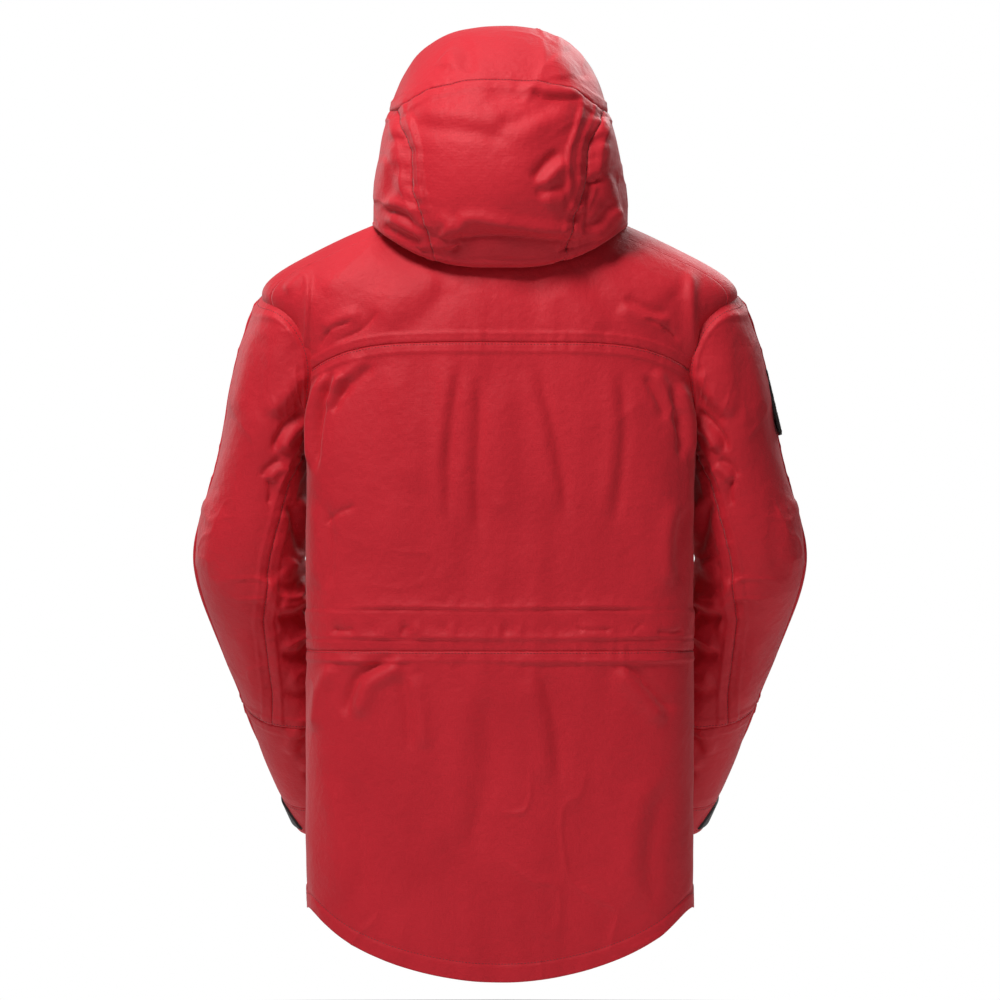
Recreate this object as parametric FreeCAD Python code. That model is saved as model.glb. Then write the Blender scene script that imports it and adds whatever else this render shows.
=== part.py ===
import FreeCAD, Part
import math
import os

# Hardshell jacket with its hood up. All sizes are in millimetres.
# Origin: the nape, where the hang loop sits. +Z is up, the wearer faces -Y, the wearer's left is +X.

Vec = FreeCAD.Vector

# ---- driving dimensions -------------------------------------------------------------------------
CLOTH = 2.4                 # thickness of a laid-up fabric wall
GAP = 0.6                   # air between pieces of different bodies
HALF_BACK = 211.0           # half width of the body below the armhole
FRONT_TOP_Y = -160.0        # centre front at the top of the collar
FRONT_TOP_Z = 20.0
FRONT_SLOPE = 0.113         # how far the front runs forward for each unit down
YOKE_SEAM_Z = -132.0
WAIST_SEAM_Z = -468.0
SIDE_SEAM_Y = -36.0
FRONT_HEM_Z = -745.0
SIDE_HEM_Z = -751.0
TAIL_HEM_Z = -830.0
HEM_ALLOWANCE = 20.0
ZIP_LENGTH = 760.0
FRONT_OPENING = 7.0         # half the width between the two fronts, where the zip lies
COLLAR_BACK_Z = 66.0
BODY_TOP_Z = 70.0
BODY_LOW_Z = -840.0

# height, half width, centre-back y, roundness, narrowing towards the front
BODY_LEVELS = [
    (BODY_TOP_Z, 80.0, 2.0, 2.1, 0.0),
    (45.0, 82.0, 1.0, 2.1, 0.0),
    (24.0, 92.0, 0.0, 1.9, 0.0),
    (5.0, 128.0, 0.0, 1.7, 0.0),
    (-20.0, 180.0, 9.0, 1.75, 0.0),
    (-45.0, 226.0, 20.0, 1.9, 0.0),
    (-71.0, 250.0, 29.0, 2.1, 0.0),
    (-105.0, 248.0, 36.0, 2.3, 0.05),
    (-150.0, 234.0, 40.0, 2.6, 0.1),
    (-200.0, 219.0, 42.0, 2.9, 0.2),
    (-260.0, HALF_BACK, 42.0, 3.2, 0.3),
    (-350.0, HALF_BACK, 42.0, 3.2, 0.3),
    (-480.0, HALF_BACK, 42.0, 3.2, 0.3),
    (-660.0, HALF_BACK, 42.0, 3.2, 0.3),
    (BODY_LOW_Z, HALF_BACK, 42.0, 3.2, 0.3),
]

# centre, direction along the arm, half size across, half size front to back
SLEEVE_RINGS = [
    ((180, -84, -146), (0.99, 0, -0.14), 70, 66),
    ((229, -86, -148), (0.967, 0, -0.254), 80, 76),
    ((249.5, -92, -191), (0.795, 0, -0.607), 65, 80),
    ((258, -95, -238), (0.378, 0, -0.926), 53, 78),
    ((268, -97, -299), (0.159, 0, -0.987), 56.7, 74),
    ((277, -102, -362), (0.0, -0.22, -0.975), 62, 70),
    ((262, -130, -430), (-0.20, -0.40, -0.89), 59, 64),
    ((240, -170, -515), (-0.25, -0.45, -0.86), 50, 60),
    ((215, -210, -590), (-0.28, -0.48, -0.83), 47, 54),
    ((192, -248, -655), (-0.29, -0.48, -0.825), 43, 49),
]
SLEEVE_START = 0.62         # where a sleeve ring starts, as a share of a turn from its outer point
ELBOW_SEAM_Z = -532.0       # cross seam below the elbow, at the sleeve's centre line
CUFF_LENGTH = 42.0

# rear point (y, z), throat point (y, z) and half width of each hood ring, from the lower edge up
HOOD_RINGS = [
    ((42, -40), (-174, -60), 137),
    ((66, 5), (-178, -44), 141),
    ((72, 60), (-181, -30), 141),
    ((62, 115), (-184, -18), 137),
    ((30, 168), (-186, -8), 131),
    ((-25, 209), (-187, 0), 126),
    ((-85, 226), (-187, 6), 124),
    ((-140, 216), (-187, 11), 120),
    ((-188, 187), (-186, 15), 115),
]
HOOD_ROUNDNESS = 2.25
HOOD_FRONT_GAP = 14.0       # from the middle to the hood's front edge, beside the zip
HOOD_FACE_HEM = 12.0


# ---- small helpers ------------------------------------------------------------------------------
def front_y(z):
    """Centre-front y of the outer surface at height z: one straight line, so the zip can run."""
    return FRONT_TOP_Y - FRONT_SLOPE * (FRONT_TOP_Z - z)


def signed_power(value, power):
    return math.copysign(abs(value) ** power, value)


def smooth_tube(sections):
    """Solid with a smooth skin through closed sections, each the same number of points in order."""
    count = len(sections[0])
    around = [i / count for i in range(count + 1)]
    rings = []
    for points in sections:
        ring = Part.BSplineCurve()
        ring.interpolate(Points=points, PeriodicFlag=True, Parameters=around)
        rings.append(ring)
    centres = [sum(points, Vec()) * (1 / count) for points in sections]
    travel = [0.0]
    for here, after in zip(centres, centres[1:]):
        travel.append(travel[-1] + (after - here).Length)
    columns = []
    for column in zip(*(ring.getPoles() for ring in rings)):
        line = Part.BSplineCurve()
        line.interpolate(Points=list(column), Parameters=travel)
        columns.append(line)
    poles = [list(row) for row in zip(*(line.getPoles() for line in columns))]
    skin = Part.BSplineSurface()
    skin.buildFromPolesMultsKnots(poles, columns[0].getMultiplicities(), rings[0].getMultiplicities(),
                                  columns[0].getKnots(), rings[0].getKnots(), False, True, 3, rings[0].Degree)
    side = skin.toShape()
    ends = [edge for edge in side.Edges if edge.isClosed()]
    caps = [Part.Face(Part.Wire([edge])) for edge in ends]
    skin_and_caps = Part.makeCompound([side] + caps)
    skin_and_caps.sewShape()
    solid = Part.Solid(skin_and_caps.Shells[0])
    if solid.Volume < 0:
        solid.reverse()
    return solid


def box(x0, x1, y0, y1, z0, z1):
    return Part.makeBox(x1 - x0, y1 - y0, z1 - z0, Vec(x0, y0, z0))


def prism(points, axis, low, high):
    """Extrude a closed outline along x or y. Its points are (y, z) for x and (x, z) for y."""
    if axis == "x":
        corners = [Vec(low, a, b) for a, b in points]
        sweep = Vec(high - low, 0, 0)
    else:
        corners = [Vec(a, low, b) for a, b in points]
        sweep = Vec(0, high - low, 0)
    face = Part.Face(Part.makePolygon(corners + corners[:1]))
    return face.extrude(sweep)


def flipped(shape):
    """The other side's twin of a piece."""
    return shape.mirror(Vec(0, 0, 0), Vec(1, 0, 0))


def body_points(level, inset, count=32):
    """Section of the body at one level, taken inwards by inset. It starts and ends at the front zip."""
    z, half_width, back, power, narrowing = level
    half_width -= inset
    back -= inset
    front = front_y(z) + inset
    middle = (back + front) / 2
    half_depth = (back - front) / 2
    outline = []
    for i in range(count):
        angle = 2 * math.pi * i / count - math.pi / 2
        across = signed_power(math.cos(angle), 2 / power)
        along = signed_power(math.sin(angle), 2 / power)
        outline.append((across * (1 - narrowing * (1 - along) / 2), along))
    widest = max(abs(x) for x, _ in outline)
    return [Vec(half_width * x / widest, middle + half_depth * y, z) for x, y in outline]


SOLIDS = {}


def body_solid(inset):
    """The body's volume inside its outer surface, taken inwards by inset."""
    if inset not in SOLIDS:
        levels = list(BODY_LEVELS)
        if inset > 0:
            levels[0] = (BODY_TOP_Z + 8,) + levels[0][1:]
            levels[-1] = (BODY_LOW_Z - 8,) + levels[-1][1:]
        SOLIDS[inset] = smooth_tube([body_points(level, inset) for level in levels])
    return SOLIDS[inset]


def body_wall(outer, inner):
    return body_solid(outer).cut(body_solid(inner))


def ring_points(centre, direction, half_across, half_depth, count=16):
    """An ellipse across a sleeve. It starts behind and inside the arm and runs round it."""
    along = Vec(*direction).normalize()
    across = along.cross(Vec(0, 1, 0)).normalize()
    depth = across.cross(along)
    points = []
    for i in range(count):
        angle = 2 * math.pi * (i / count + SLEEVE_START)
        offset = across * (half_across * math.cos(angle)) + depth * (half_depth * math.sin(angle))
        points.append(Vec(*centre) + offset)
    return points


def sleeve_solid(inset):
    """Left sleeve's volume. The hollow runs past both ends, so that the tube is open."""
    rings = list(SLEEVE_RINGS)
    if inset > 0:
        for end, sign in ((0, -1), (-1, 1)):
            centre, direction, across, depth = rings[end]
            moved = Vec(*centre) + Vec(*direction) * (8 * sign)
            rings[end] = (tuple(moved), direction, across, depth)
    return smooth_tube([ring_points(c, d, a - inset, b - inset) for c, d, a, b in rings])


def hood_solid(inset):
    """Hood's volume: rings that stand on the throat and fan from the neck up to the face."""
    sections = []
    last = len(HOOD_RINGS) - 1
    for index, (rear, throat, half_width) in enumerate(HOOD_RINGS):
        rear = Vec(0, *rear)
        throat = Vec(0, *throat)
        rise = (rear - throat).normalize()
        normal = Vec(1, 0, 0).cross(rise)
        shift = Vec(0, 0, 0)
        if inset > 0 and index in (0, last):
            shift = normal * (8 if index == last else -8)
        middle = (rear + throat) * 0.5 + shift
        half_length = (rear - throat).Length / 2 - inset
        points = []
        for i in range(28):
            angle = 2 * math.pi * i / 28 - math.pi / 2
            across = signed_power(math.cos(angle), 2 / HOOD_ROUNDNESS)
            along = signed_power(math.sin(angle), 2 / HOOD_ROUNDNESS)
            points.append(middle + Vec((half_width - inset) * across, 0, 0) + rise * (half_length * along))
        sections.append(points)
    return smooth_tube(sections)


def front_frame(shape):
    """Lay a piece on the zip line: x across, y into the jacket, z up from the collar's top."""
    tilt = -math.degrees(math.atan(FRONT_SLOPE))
    shape = shape.copy()
    shape.rotate(Vec(0, 0, 0), Vec(1, 0, 0), tilt)
    shape.translate(Vec(0, FRONT_TOP_Y, FRONT_TOP_Z))
    return shape


def solids_of(shape, smallest=20.0):
    """Keep a piece's real solids and drop slivers left by a cut."""
    kept = [s for s in shape.Solids if s.Volume > smallest]
    return kept[0] if len(kept) == 1 else Part.makeCompound(kept)


def save(name, shape):
    shape = solids_of(shape)
    shape.exportStep(f"parts/{name}.step")
    size = shape.BoundBox
    print(f"{name:28s} solids {len(shape.Solids):3d} valid {shape.isValid()} volume {shape.Volume/1000:8.2f} cm3 "
          f"z {size.ZMin:7.1f} {size.ZMax:7.1f}")


# ---- cutting tools ------------------------------------------------------------------------------
def hem_prism(raise_by):
    """Everything below the hem: level in front, then a long curved tail behind."""
    rise = SIDE_HEM_Z - TAIL_HEM_Z
    radius = (HALF_BACK ** 2 + rise ** 2) / (2 * rise)
    middle = Vec(0, 0, TAIL_HEM_Z + radius + raise_by)
    half_angle = math.asin(HALF_BACK / radius)
    left = middle + Vec(radius * math.sin(half_angle), 0, -radius * math.cos(half_angle))
    right = Vec(-left.x, 0, left.z)
    low = Vec(0, 0, TAIL_HEM_Z + raise_by)
    far = 400.0
    floor = BODY_LOW_Z - 60
    edges = [
        Part.Arc(left, low, right).toShape(),
        Part.makeLine(right, Vec(-far, 0, right.z)),
        Part.makeLine(Vec(-far, 0, right.z), Vec(-far, 0, floor)),
        Part.makeLine(Vec(-far, 0, floor), Vec(far, 0, floor)),
        Part.makeLine(Vec(far, 0, floor), Vec(far, 0, left.z)),
        Part.makeLine(Vec(far, 0, left.z), left),
    ]
    face = Part.Face(Part.Wire(edges))
    face.translate(Vec(0, SIDE_SEAM_Y, 0))
    back = face.extrude(Vec(0, 200, 0))
    front = box(-far, far, -500, SIDE_SEAM_Y, floor, FRONT_HEM_Z + raise_by)
    return back.fuse(front)


def collar_region():
    """Above the neck seam, as seen from the side: low in front, high beside the neck."""
    return prism([(60, 0), (-4, 0), (-80, 21), (-120, 2), (-260, -118), (-260, 120), (60, 120)], "x", -400, 400)


def above_collar():
    return prism([(60, COLLAR_BACK_Z + 10), (0, COLLAR_BACK_Z), (FRONT_TOP_Y, FRONT_TOP_Z), (-260, 0),
                  (-260, 140), (60, 140)], "x", -400, 400)


# ---- the body -----------------------------------------------------------------------------------
def both_halves(half):
    """A piece that crosses the middle, from its left half."""
    return half.fuse(flipped(half)).removeSplitter()


def side_pieces(name, left):
    save(f"left_{name}", left)
    save(f"right_{name}", flipped(left))


def make_body(sleeve_hollow):
    wall = body_wall(0, CLOTH).common(box(0, 400, -500, 200, -900, 200))
    wall = wall.cut(above_collar()).cut(hem_prism(0))
    wall = wall.cut(box(-1, FRONT_OPENING, -400, -90, -900, 200))
    save("collar", both_halves(wall.common(collar_region())))
    wall = wall.cut(collar_region()).cut(sleeve_hollow)
    back = wall.common(box(-1, 400, SIDE_SEAM_Y, 200, -900, 200))
    front = wall.common(box(-1, 400, -500, SIDE_SEAM_Y, -900, 200))
    save("back_yoke", both_halves(back.common(box(-1, 400, -400, 200, YOKE_SEAM_Z, 200))))
    save("back_panel", both_halves(back.common(box(-1, 400, -400, 200, WAIST_SEAM_Z, YOKE_SEAM_Z))))
    save("lower_back_panel", both_halves(back.common(box(-1, 400, -400, 200, -900, WAIST_SEAM_Z))))
    side_pieces("front", front.common(box(-1, 400, -500, 200, WAIST_SEAM_Z, 200)))
    side_pieces("front_skirt", front.common(box(-1, 400, -500, 200, -900, WAIST_SEAM_Z)))


def make_bands():
    """Inner tapes and elastics, laid against the inside of the body."""
    clear_front = box(-128, 128, -400, -90, -900, 200)
    casing = body_wall(CLOTH + 1.6, CLOTH + 2.8).common(box(-400, 400, -400, 200, WAIST_SEAM_Z - 8, WAIST_SEAM_Z + 50))
    save("waist_casing", casing.cut(clear_front))
    elastic = body_wall(CLOTH + 0.3, CLOTH + 1.3).common(box(-400, 400, -400, 200, WAIST_SEAM_Z + 8, WAIST_SEAM_Z + 34))
    save("waist_elastic", elastic.cut(clear_front))
    hem_gap = box(-38, 38, -400, -90, -900, 200)
    hem_zone = hem_prism(HEM_ALLOWANCE + 4).cut(hem_prism(0))
    save("hem_facing", body_wall(CLOTH + 1.6, CLOTH + 2.8).common(hem_zone).cut(hem_gap))
    cord_zone = hem_prism(HEM_ALLOWANCE - 5).cut(hem_prism(5))
    save("hem_elastic", body_wall(CLOTH + 0.3, CLOTH + 1.3).common(cord_zone).cut(hem_gap))


# ---- front zip ----------------------------------------------------------------------------------
TAPE = 1.0
COIL_IN = 0.6
COIL_OUT = 3.2
SLIDER_LENGTH = 14.0
SLIDER_START = 10.0
BAR_Y = -4.2                # hinge bar of the pull tab, in front of the cloth
BAR_RADIUS = 1.1


def make_front_zip():
    keep = front_frame(box(-60, 60, -60, 60, -ZIP_LENGTH, 0))
    tapes = body_wall(CLOTH, CLOTH + TAPE).common(keep).common(box(-17, 17, -400, -90, -900, 200))
    for side, sign in (("left", 1), ("right", -1)):
        lane = box(min(sign * 1.5, sign * 17), max(sign * 1.5, sign * 17), -400, -90, -900, 200)
        save(f"{side}_zip_tape", tapes.common(lane))
        low, high = sorted((sign * COIL_IN, sign * COIL_OUT))
        save(f"{side}_zip_coil", front_frame(box(low, high, 0.2, CLOTH - 0.1, -ZIP_LENGTH + 6, -6)))
    low = -SLIDER_START - SLIDER_LENGTH
    upper = box(-5.6, 5.6, -1.7, -0.4, low, -SLIDER_START)
    lower = box(-5.6, 5.6, CLOTH + TAPE + 0.5, CLOTH + TAPE + 1.7, low, -SLIDER_START)
    web = box(-0.4, 0.4, -0.6, CLOTH + TAPE + 0.8, low + 2, -SLIDER_START - 2)
    middle = (low - SLIDER_START) / 2
    lugs = [box(x, x + 1.6, BAR_Y - 1.6, -1.6, middle - 2.4, middle + 2.4) for x in (-4.6, 3.0)]
    bar = Part.makeCylinder(BAR_RADIUS, 8.4, Vec(-4.2, BAR_Y, middle), Vec(1, 0, 0))
    slider = upper.makeFillet(1.2, [e for e in upper.Edges if e.Length < 1.31]).fuse([lower, web, bar] + lugs)
    save("zip_slider", front_frame(slider))
    eye = Part.makeCylinder(2.2, 5.2, Vec(-2.6, BAR_Y, middle), Vec(1, 0, 0))
    blade = box(-2.6, 2.6, BAR_Y - 0.8, BAR_Y + 0.8, middle - 14, middle - 1)
    grip = box(-4.6, 4.6, BAR_Y - 1.3, BAR_Y + 1.3, middle - 46, middle - 12)
    grip = grip.makeFillet(1.2, grip.Edges)
    bore = Part.makeCylinder(BAR_RADIUS + 0.25, 8, Vec(-4, BAR_Y, middle), Vec(1, 0, 0))
    save("zip_pull", front_frame(eye.fuse([blade, grip]).cut(bore)))
    stops = [box(sign * 1.9 - 1.3, sign * 1.9 + 1.3, -0.3, CLOTH - 0.1, -5.4, -1.5) for sign in (-1, 1)]
    save("zip_top_stops", front_frame(Part.makeCompound(stops)))
    retainer = box(-6.4, 6.4, -1.0, CLOTH - 0.1, -ZIP_LENGTH - 12, -ZIP_LENGTH)
    slot = box(0.8, 3.6, -0.2, CLOTH, -ZIP_LENGTH - 9, -ZIP_LENGTH + 1)
    save("zip_retainer_box", front_frame(retainer.cut(slot)))
    save("zip_insertion_pin", front_frame(box(1.2, 3.2, 0.2, CLOTH - 0.3, -ZIP_LENGTH - 8.6, -ZIP_LENGTH + 5.4)))
    guard = body_wall(CLOTH + 5.6, CLOTH + 7.2).common(box(-14, 30, -400, -90, -730, 0))
    fold = body_wall(CLOTH, CLOTH + 7.2).common(box(30, 33, -400, -90, -730, 0))
    save("inner_storm_flap", guard.fuse(fold))


# ---- pockets ------------------------------------------------------------------------------------
POCKET_TOP_Z = -268.0
POCKET_LOW_Z = -452.0
POCKET_X = 98.0
POCKET_WIDTH = 14.0


def make_pockets():
    zone = box(POCKET_X, POCKET_X + POCKET_WIDTH, -400, -90, POCKET_LOW_Z, POCKET_TOP_Z)
    strip = body_wall(-1.4, 0).common(zone)
    bag = body_wall(CLOTH + 1.0, CLOTH + 2.2).common(box(36, 124, -400, -90, POCKET_LOW_Z - 6, POCKET_TOP_Z + 20))
    low_z = POCKET_TOP_Z - 12
    middle_x = POCKET_X + POCKET_WIDTH / 2
    runner = body_wall(-3.6, -2.0).common(box(middle_x - 4.5, middle_x + 4.5, -400, -90, low_z - 13, low_z))
    tab = body_wall(-6.6, -3.5).common(box(middle_x - 2.6, middle_x + 2.6, -400, -90, low_z - 34, low_z - 4))
    side_pieces("pocket_zip", strip)
    side_pieces("pocket_bag", bag)
    side_pieces("pocket_slider", runner.fuse(tab))


# ---- sleeves ------------------------------------------------------------------------------------
def make_sleeves():
    outer = sleeve_solid(0)
    hollow = sleeve_solid(CLOTH)
    wall = outer.cut(hollow)
    end_centre, end_direction = Vec(*SLEEVE_RINGS[-1][0]), Vec(*SLEEVE_RINGS[-1][1]).normalize()
    big = Part.makeBox(400, 400, 400, Vec(-200, -200, 0))
    big.Placement = FreeCAD.Placement(Vec(0, 0, 0), FreeCAD.Rotation(Vec(0, 0, 1), end_direction))
    cuff_zone = big.copy()
    cuff_zone.translate(end_centre - end_direction * CUFF_LENGTH)
    cuff = wall.common(cuff_zone)
    rest = wall.cut(cuff_zone).cut(body_solid(0))
    lower_zone = box(0, 400, -500, 200, -900, ELBOW_SEAM_Z)
    lower = rest.common(lower_zone)
    upper = rest.cut(lower_zone)
    seam = [(150, -100), (206, -232), (233, -282), (253, -362), (262, -437), (254, -520), (250, -600),
            (0, -600), (0, -100)]
    under_zone = prism(seam, "y", -400, 200)
    inner_cuff = sleeve_solid(CLOTH + 1.0).copy()
    band = hollow.cut(inner_cuff).common(cuff_zone)
    tab_start = cuff_zone.copy()
    tab_start.translate(end_direction * 8)
    tab_end = cuff_zone.copy()
    tab_end.translate(end_direction * 34)
    tab_zone = tab_start.cut(tab_end)
    tab_wall = sleeve_solid(-GAP - 2.0).cut(sleeve_solid(-GAP)).common(tab_zone)
    hook_wall = sleeve_solid(-0.4).cut(outer).common(tab_zone)
    outside = box(end_centre.x + 8, 400, -500, end_centre.y + 30, -900, -400)
    tab = tab_wall.common(outside)
    hooks = hook_wall.common(outside)
    side_pieces("sleeve_outer", upper.cut(under_zone))
    side_pieces("sleeve_under", upper.common(under_zone))
    side_pieces("sleeve_lower", lower)
    side_pieces("cuff", cuff)
    side_pieces("cuff_facing", band)
    side_pieces("cuff_tab", tab)
    side_pieces("cuff_loop_patch", hooks)
    return hollow


PATCH_HEIGHT = 76.0
PATCH_DEPTH = 46.0
PATCH_PROUD = 1.8           # how far its flat face stands out of the sleeve's furthest point
PATCH_PACKING = 8.0
PATCH_Z = -193.0
PATCH_Y = -94.0
PATCH_TILT = 13.5


def make_sleeve_patch():
    """Flat badge panel on the right upper sleeve. Its back follows the sleeve, its corners are round."""
    arm = flipped(sleeve_solid(0))
    outward = Vec(-math.cos(math.radians(PATCH_TILT)), 0, math.sin(math.radians(PATCH_TILT)))
    near = arm.common(box(-400, -200, PATCH_Y - PATCH_DEPTH / 2, PATCH_Y + PATCH_DEPTH / 2,
                          PATCH_Z - PATCH_HEIGHT / 2, PATCH_Z + PATCH_HEIGHT / 2))
    reach = max(outward.dot(point) for point in near.tessellate(0.5)[0])
    foot = Vec(0, PATCH_Y, PATCH_Z)
    centre = foot + outward * (reach + PATCH_PROUD - outward.dot(foot))
    centre += Vec(outward.z, 0, -outward.x) * ((PATCH_Z - centre.z) / -outward.x)
    plate = Part.makeBox(PATCH_PACKING, PATCH_DEPTH, PATCH_HEIGHT, Vec(0, -PATCH_DEPTH / 2, -PATCH_HEIGHT / 2))
    corners = [e for e in plate.Edges if abs(e.Length - PATCH_PACKING) < 0.01]
    plate = plate.makeFillet(14, corners)
    plate.rotate(Vec(0, 0, 0), Vec(0, 1, 0), PATCH_TILT)
    plate.translate(centre)
    save("sleeve_badge_patch", plate.cut(arm))


# ---- hood ---------------------------------------------------------------------------------------
def make_hood():
    shell = hood_solid(0).cut(hood_solid(CLOTH)).common(box(0, 300, -400, 200, -200, 400))
    shell = shell.cut(body_solid(-GAP - 1.0)).cut(box(-1, HOOD_FRONT_GAP, -400, -120, -200, 60))
    crown_zone = prism([(-1, 156), (0, 156), (60, 148), (114, 127), (200, 127), (200, 300), (-1, 300)],
                       "y", -400, 200)
    centre_zone = prism([(-1, -80), (70, -80), (73, -34), (85, 10), (96, 37), (98, 79), (104, 100),
                         (114, 124), (122, 200), (-1, 200)], "y", -40, 200)
    face_zone = box(-1, 300, -400, HOOD_RINGS[-1][0][0] + HOOD_FACE_HEM, 22, 400)
    body = shell.cut(face_zone)
    crown = body.common(crown_zone)
    body = body.cut(crown_zone)
    save("hood_face_hem", both_halves(shell.common(face_zone)))
    save("hood_crown_panel", both_halves(crown))
    save("hood_centre_panel", both_halves(body.common(centre_zone)))
    side_pieces("hood_side", body.cut(centre_zone))
    visor = hood_solid(CLOTH + 0.3).cut(hood_solid(CLOTH + 1.5)).common(box(0, 96, -178, -128, 150, 300))
    save("hood_visor_stiffener", both_halves(visor))


# ---- cord locks, eyelets, hang loop -------------------------------------------------------------
LOCK_RADIUS = 7.0
LOCK_HEIGHT = 18.0
LOCK_FLOOR = 1.6            # thickness of the barrel's closed end
PLUNGER_RADIUS = 5.0
PLUNGER_AIR = 0.35
PLUNGER_TRAVEL = 3.5
SPRING_SPACE = 5.9          # from the well's floor to the plunger at rest
CAP_PROUD = 7.4             # how far the button stands out of the barrel
CORD_HOLE_RADIUS = 2.1
CORD_HOLE_Z = 11.5


def cord_lock():
    """Barrel lock that stands on its base at the origin: hollow body, sprung plunger, coil spring."""
    barrel = Part.makeCylinder(LOCK_RADIUS, LOCK_HEIGHT)
    well = Part.makeCylinder(PLUNGER_RADIUS + PLUNGER_AIR, LOCK_HEIGHT, Vec(0, 0, LOCK_FLOOR))
    plunger_z = LOCK_FLOOR + SPRING_SPACE
    plunger = Part.makeCylinder(PLUNGER_RADIUS, LOCK_HEIGHT + CAP_PROUD - plunger_z, Vec(0, 0, plunger_z))
    plunger_hole_z = CORD_HOLE_Z + PLUNGER_TRAVEL / 3
    start = Vec(-2 * LOCK_RADIUS, 0, 0)
    cord_way = Part.makeCylinder(CORD_HOLE_RADIUS, 4 * LOCK_RADIUS, start + Vec(0, 0, CORD_HOLE_Z), Vec(1, 0, 0))
    cord_hole = Part.makeCylinder(CORD_HOLE_RADIUS, 4 * LOCK_RADIUS, start + Vec(0, 0, plunger_hole_z),
                                  Vec(1, 0, 0))
    coil = Part.makeCylinder(3.6, SPRING_SPACE - 0.3, Vec(0, 0, LOCK_FLOOR + 0.1))
    coil = coil.cut(Part.makeCylinder(2.6, SPRING_SPACE, Vec(0, 0, LOCK_FLOOR)))
    return barrel.cut(well).cut(cord_way), plunger.cut(cord_hole), coil


def stood_at(shape, position, axis):
    """The piece moved from the origin, where it stands along z, to a position and an axis."""
    shape = shape.copy()
    shape.Placement = FreeCAD.Placement(Vec(*position), FreeCAD.Rotation(Vec(0, 0, 1), Vec(*axis)))
    return shape


HOOD_LOCK = (62.0, -30.0)   # x and z of a lock's foot
HEM_LOCK = (112.0, -726.0)
LOCK_AIR = 0.5


def front_of(solid, x, z):
    """The y of a solid's front surface at x, z."""
    ray = Part.makeLine(Vec(x, -400, z), Vec(x, -100, z)).common(solid)
    return min(vertex.Y for vertex in ray.Vertexes)


def make_cord_locks():
    up = (0, FRONT_SLOPE, 1)
    for name, solid, (x, z) in (("hood", hood_solid(0), HOOD_LOCK), ("hem", body_solid(0), HEM_LOCK)):
        inner_x = x - LOCK_RADIUS
        y = min(front_of(solid, inner_x, z), front_of(solid, inner_x, z + LOCK_HEIGHT)) - LOCK_RADIUS - LOCK_AIR
        print(name, "lock foot", x, round(y, 2), z)
        body, plunger, spring = (stood_at(shape, (x, y, z), up) for shape in cord_lock())
        save(f"{name}_lock_bodies", Part.makeCompound([body, flipped(body)]))
        save(f"{name}_lock_springs", Part.makeCompound([spring, flipped(spring)]))
        side_pieces(f"{name}_lock_plunger", plunger)


LOOP_RADIUS = 17.0
LOOP_TAPE = 1.4
LOOP_WIDTH = 8.0
LOOP_CENTRE_Y = 2.0


def make_hang_loop():
    """A tape that bows inwards from the nape, so that a hook or a finger goes through it."""
    outer = Part.makeCylinder(LOOP_RADIUS, LOOP_WIDTH, Vec(0, LOOP_CENTRE_Y, 0))
    inner = Part.makeCylinder(LOOP_RADIUS - LOOP_TAPE, LOOP_WIDTH, Vec(0, LOOP_CENTRE_Y, 0))
    bow = outer.cut(inner).common(body_solid(CLOTH)).common(box(-40, 40, -40, 0, -10, 20))
    feet = body_wall(CLOTH, CLOTH + LOOP_TAPE).common(box(14, 26, -40, 0, 0, LOOP_WIDTH))
    save("hang_loop", bow.fuse([feet, flipped(feet)]))


def main():
    os.makedirs("parts", exist_ok=True)
    sleeve_hollow = make_sleeves()
    make_body(sleeve_hollow)
    make_bands()
    make_front_zip()
    make_pockets()
    make_sleeve_patch()
    make_hood()
    make_cord_locks()
    make_hang_loop()


main()
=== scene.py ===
import math

import bpy
import numpy as np
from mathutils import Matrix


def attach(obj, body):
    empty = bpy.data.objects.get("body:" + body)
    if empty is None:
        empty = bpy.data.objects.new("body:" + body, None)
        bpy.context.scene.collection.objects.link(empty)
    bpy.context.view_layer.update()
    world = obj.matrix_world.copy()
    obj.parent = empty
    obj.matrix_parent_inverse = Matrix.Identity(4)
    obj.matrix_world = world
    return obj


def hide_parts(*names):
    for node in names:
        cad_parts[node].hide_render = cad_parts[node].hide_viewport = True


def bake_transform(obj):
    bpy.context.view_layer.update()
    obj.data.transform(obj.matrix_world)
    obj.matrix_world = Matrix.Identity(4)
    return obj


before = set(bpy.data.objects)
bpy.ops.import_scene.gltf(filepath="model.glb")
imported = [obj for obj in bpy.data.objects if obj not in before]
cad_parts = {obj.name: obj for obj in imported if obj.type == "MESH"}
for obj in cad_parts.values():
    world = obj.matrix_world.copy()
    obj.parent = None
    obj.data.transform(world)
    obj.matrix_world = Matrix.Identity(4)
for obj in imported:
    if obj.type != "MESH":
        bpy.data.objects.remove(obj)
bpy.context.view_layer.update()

# Hardshell jacket. Metres, origin at the nape, +Z up, the wearer faces -Y and their left is +X.

# ---- shape constants, close to those of the CAD model ---------------------------------------------
FRONT_TOP_Y, FRONT_TOP_Z, FRONT_SLOPE = -0.160, 0.020, 0.113
HALF_BACK = 0.211
SIDE_SEAM_Y = -0.036
YOKE_SEAM_Z, YOKE_DROP = -0.130, 0.032
WAIST_SEAM_Z = -0.468
FRONT_HEM_Z, SIDE_HEM_Z, TAIL_HEM_Z = -0.745, -0.751, -0.830
FRONT_OPENING = 0.007
COLLAR_BACK_Z = 0.066
STEP = 0.0020               # spacing of the cloth's grids
CLOTH = 0.0009              # visible thickness of the cloth
POCKET_X = 0.105            # middle of each pocket's zip

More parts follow.
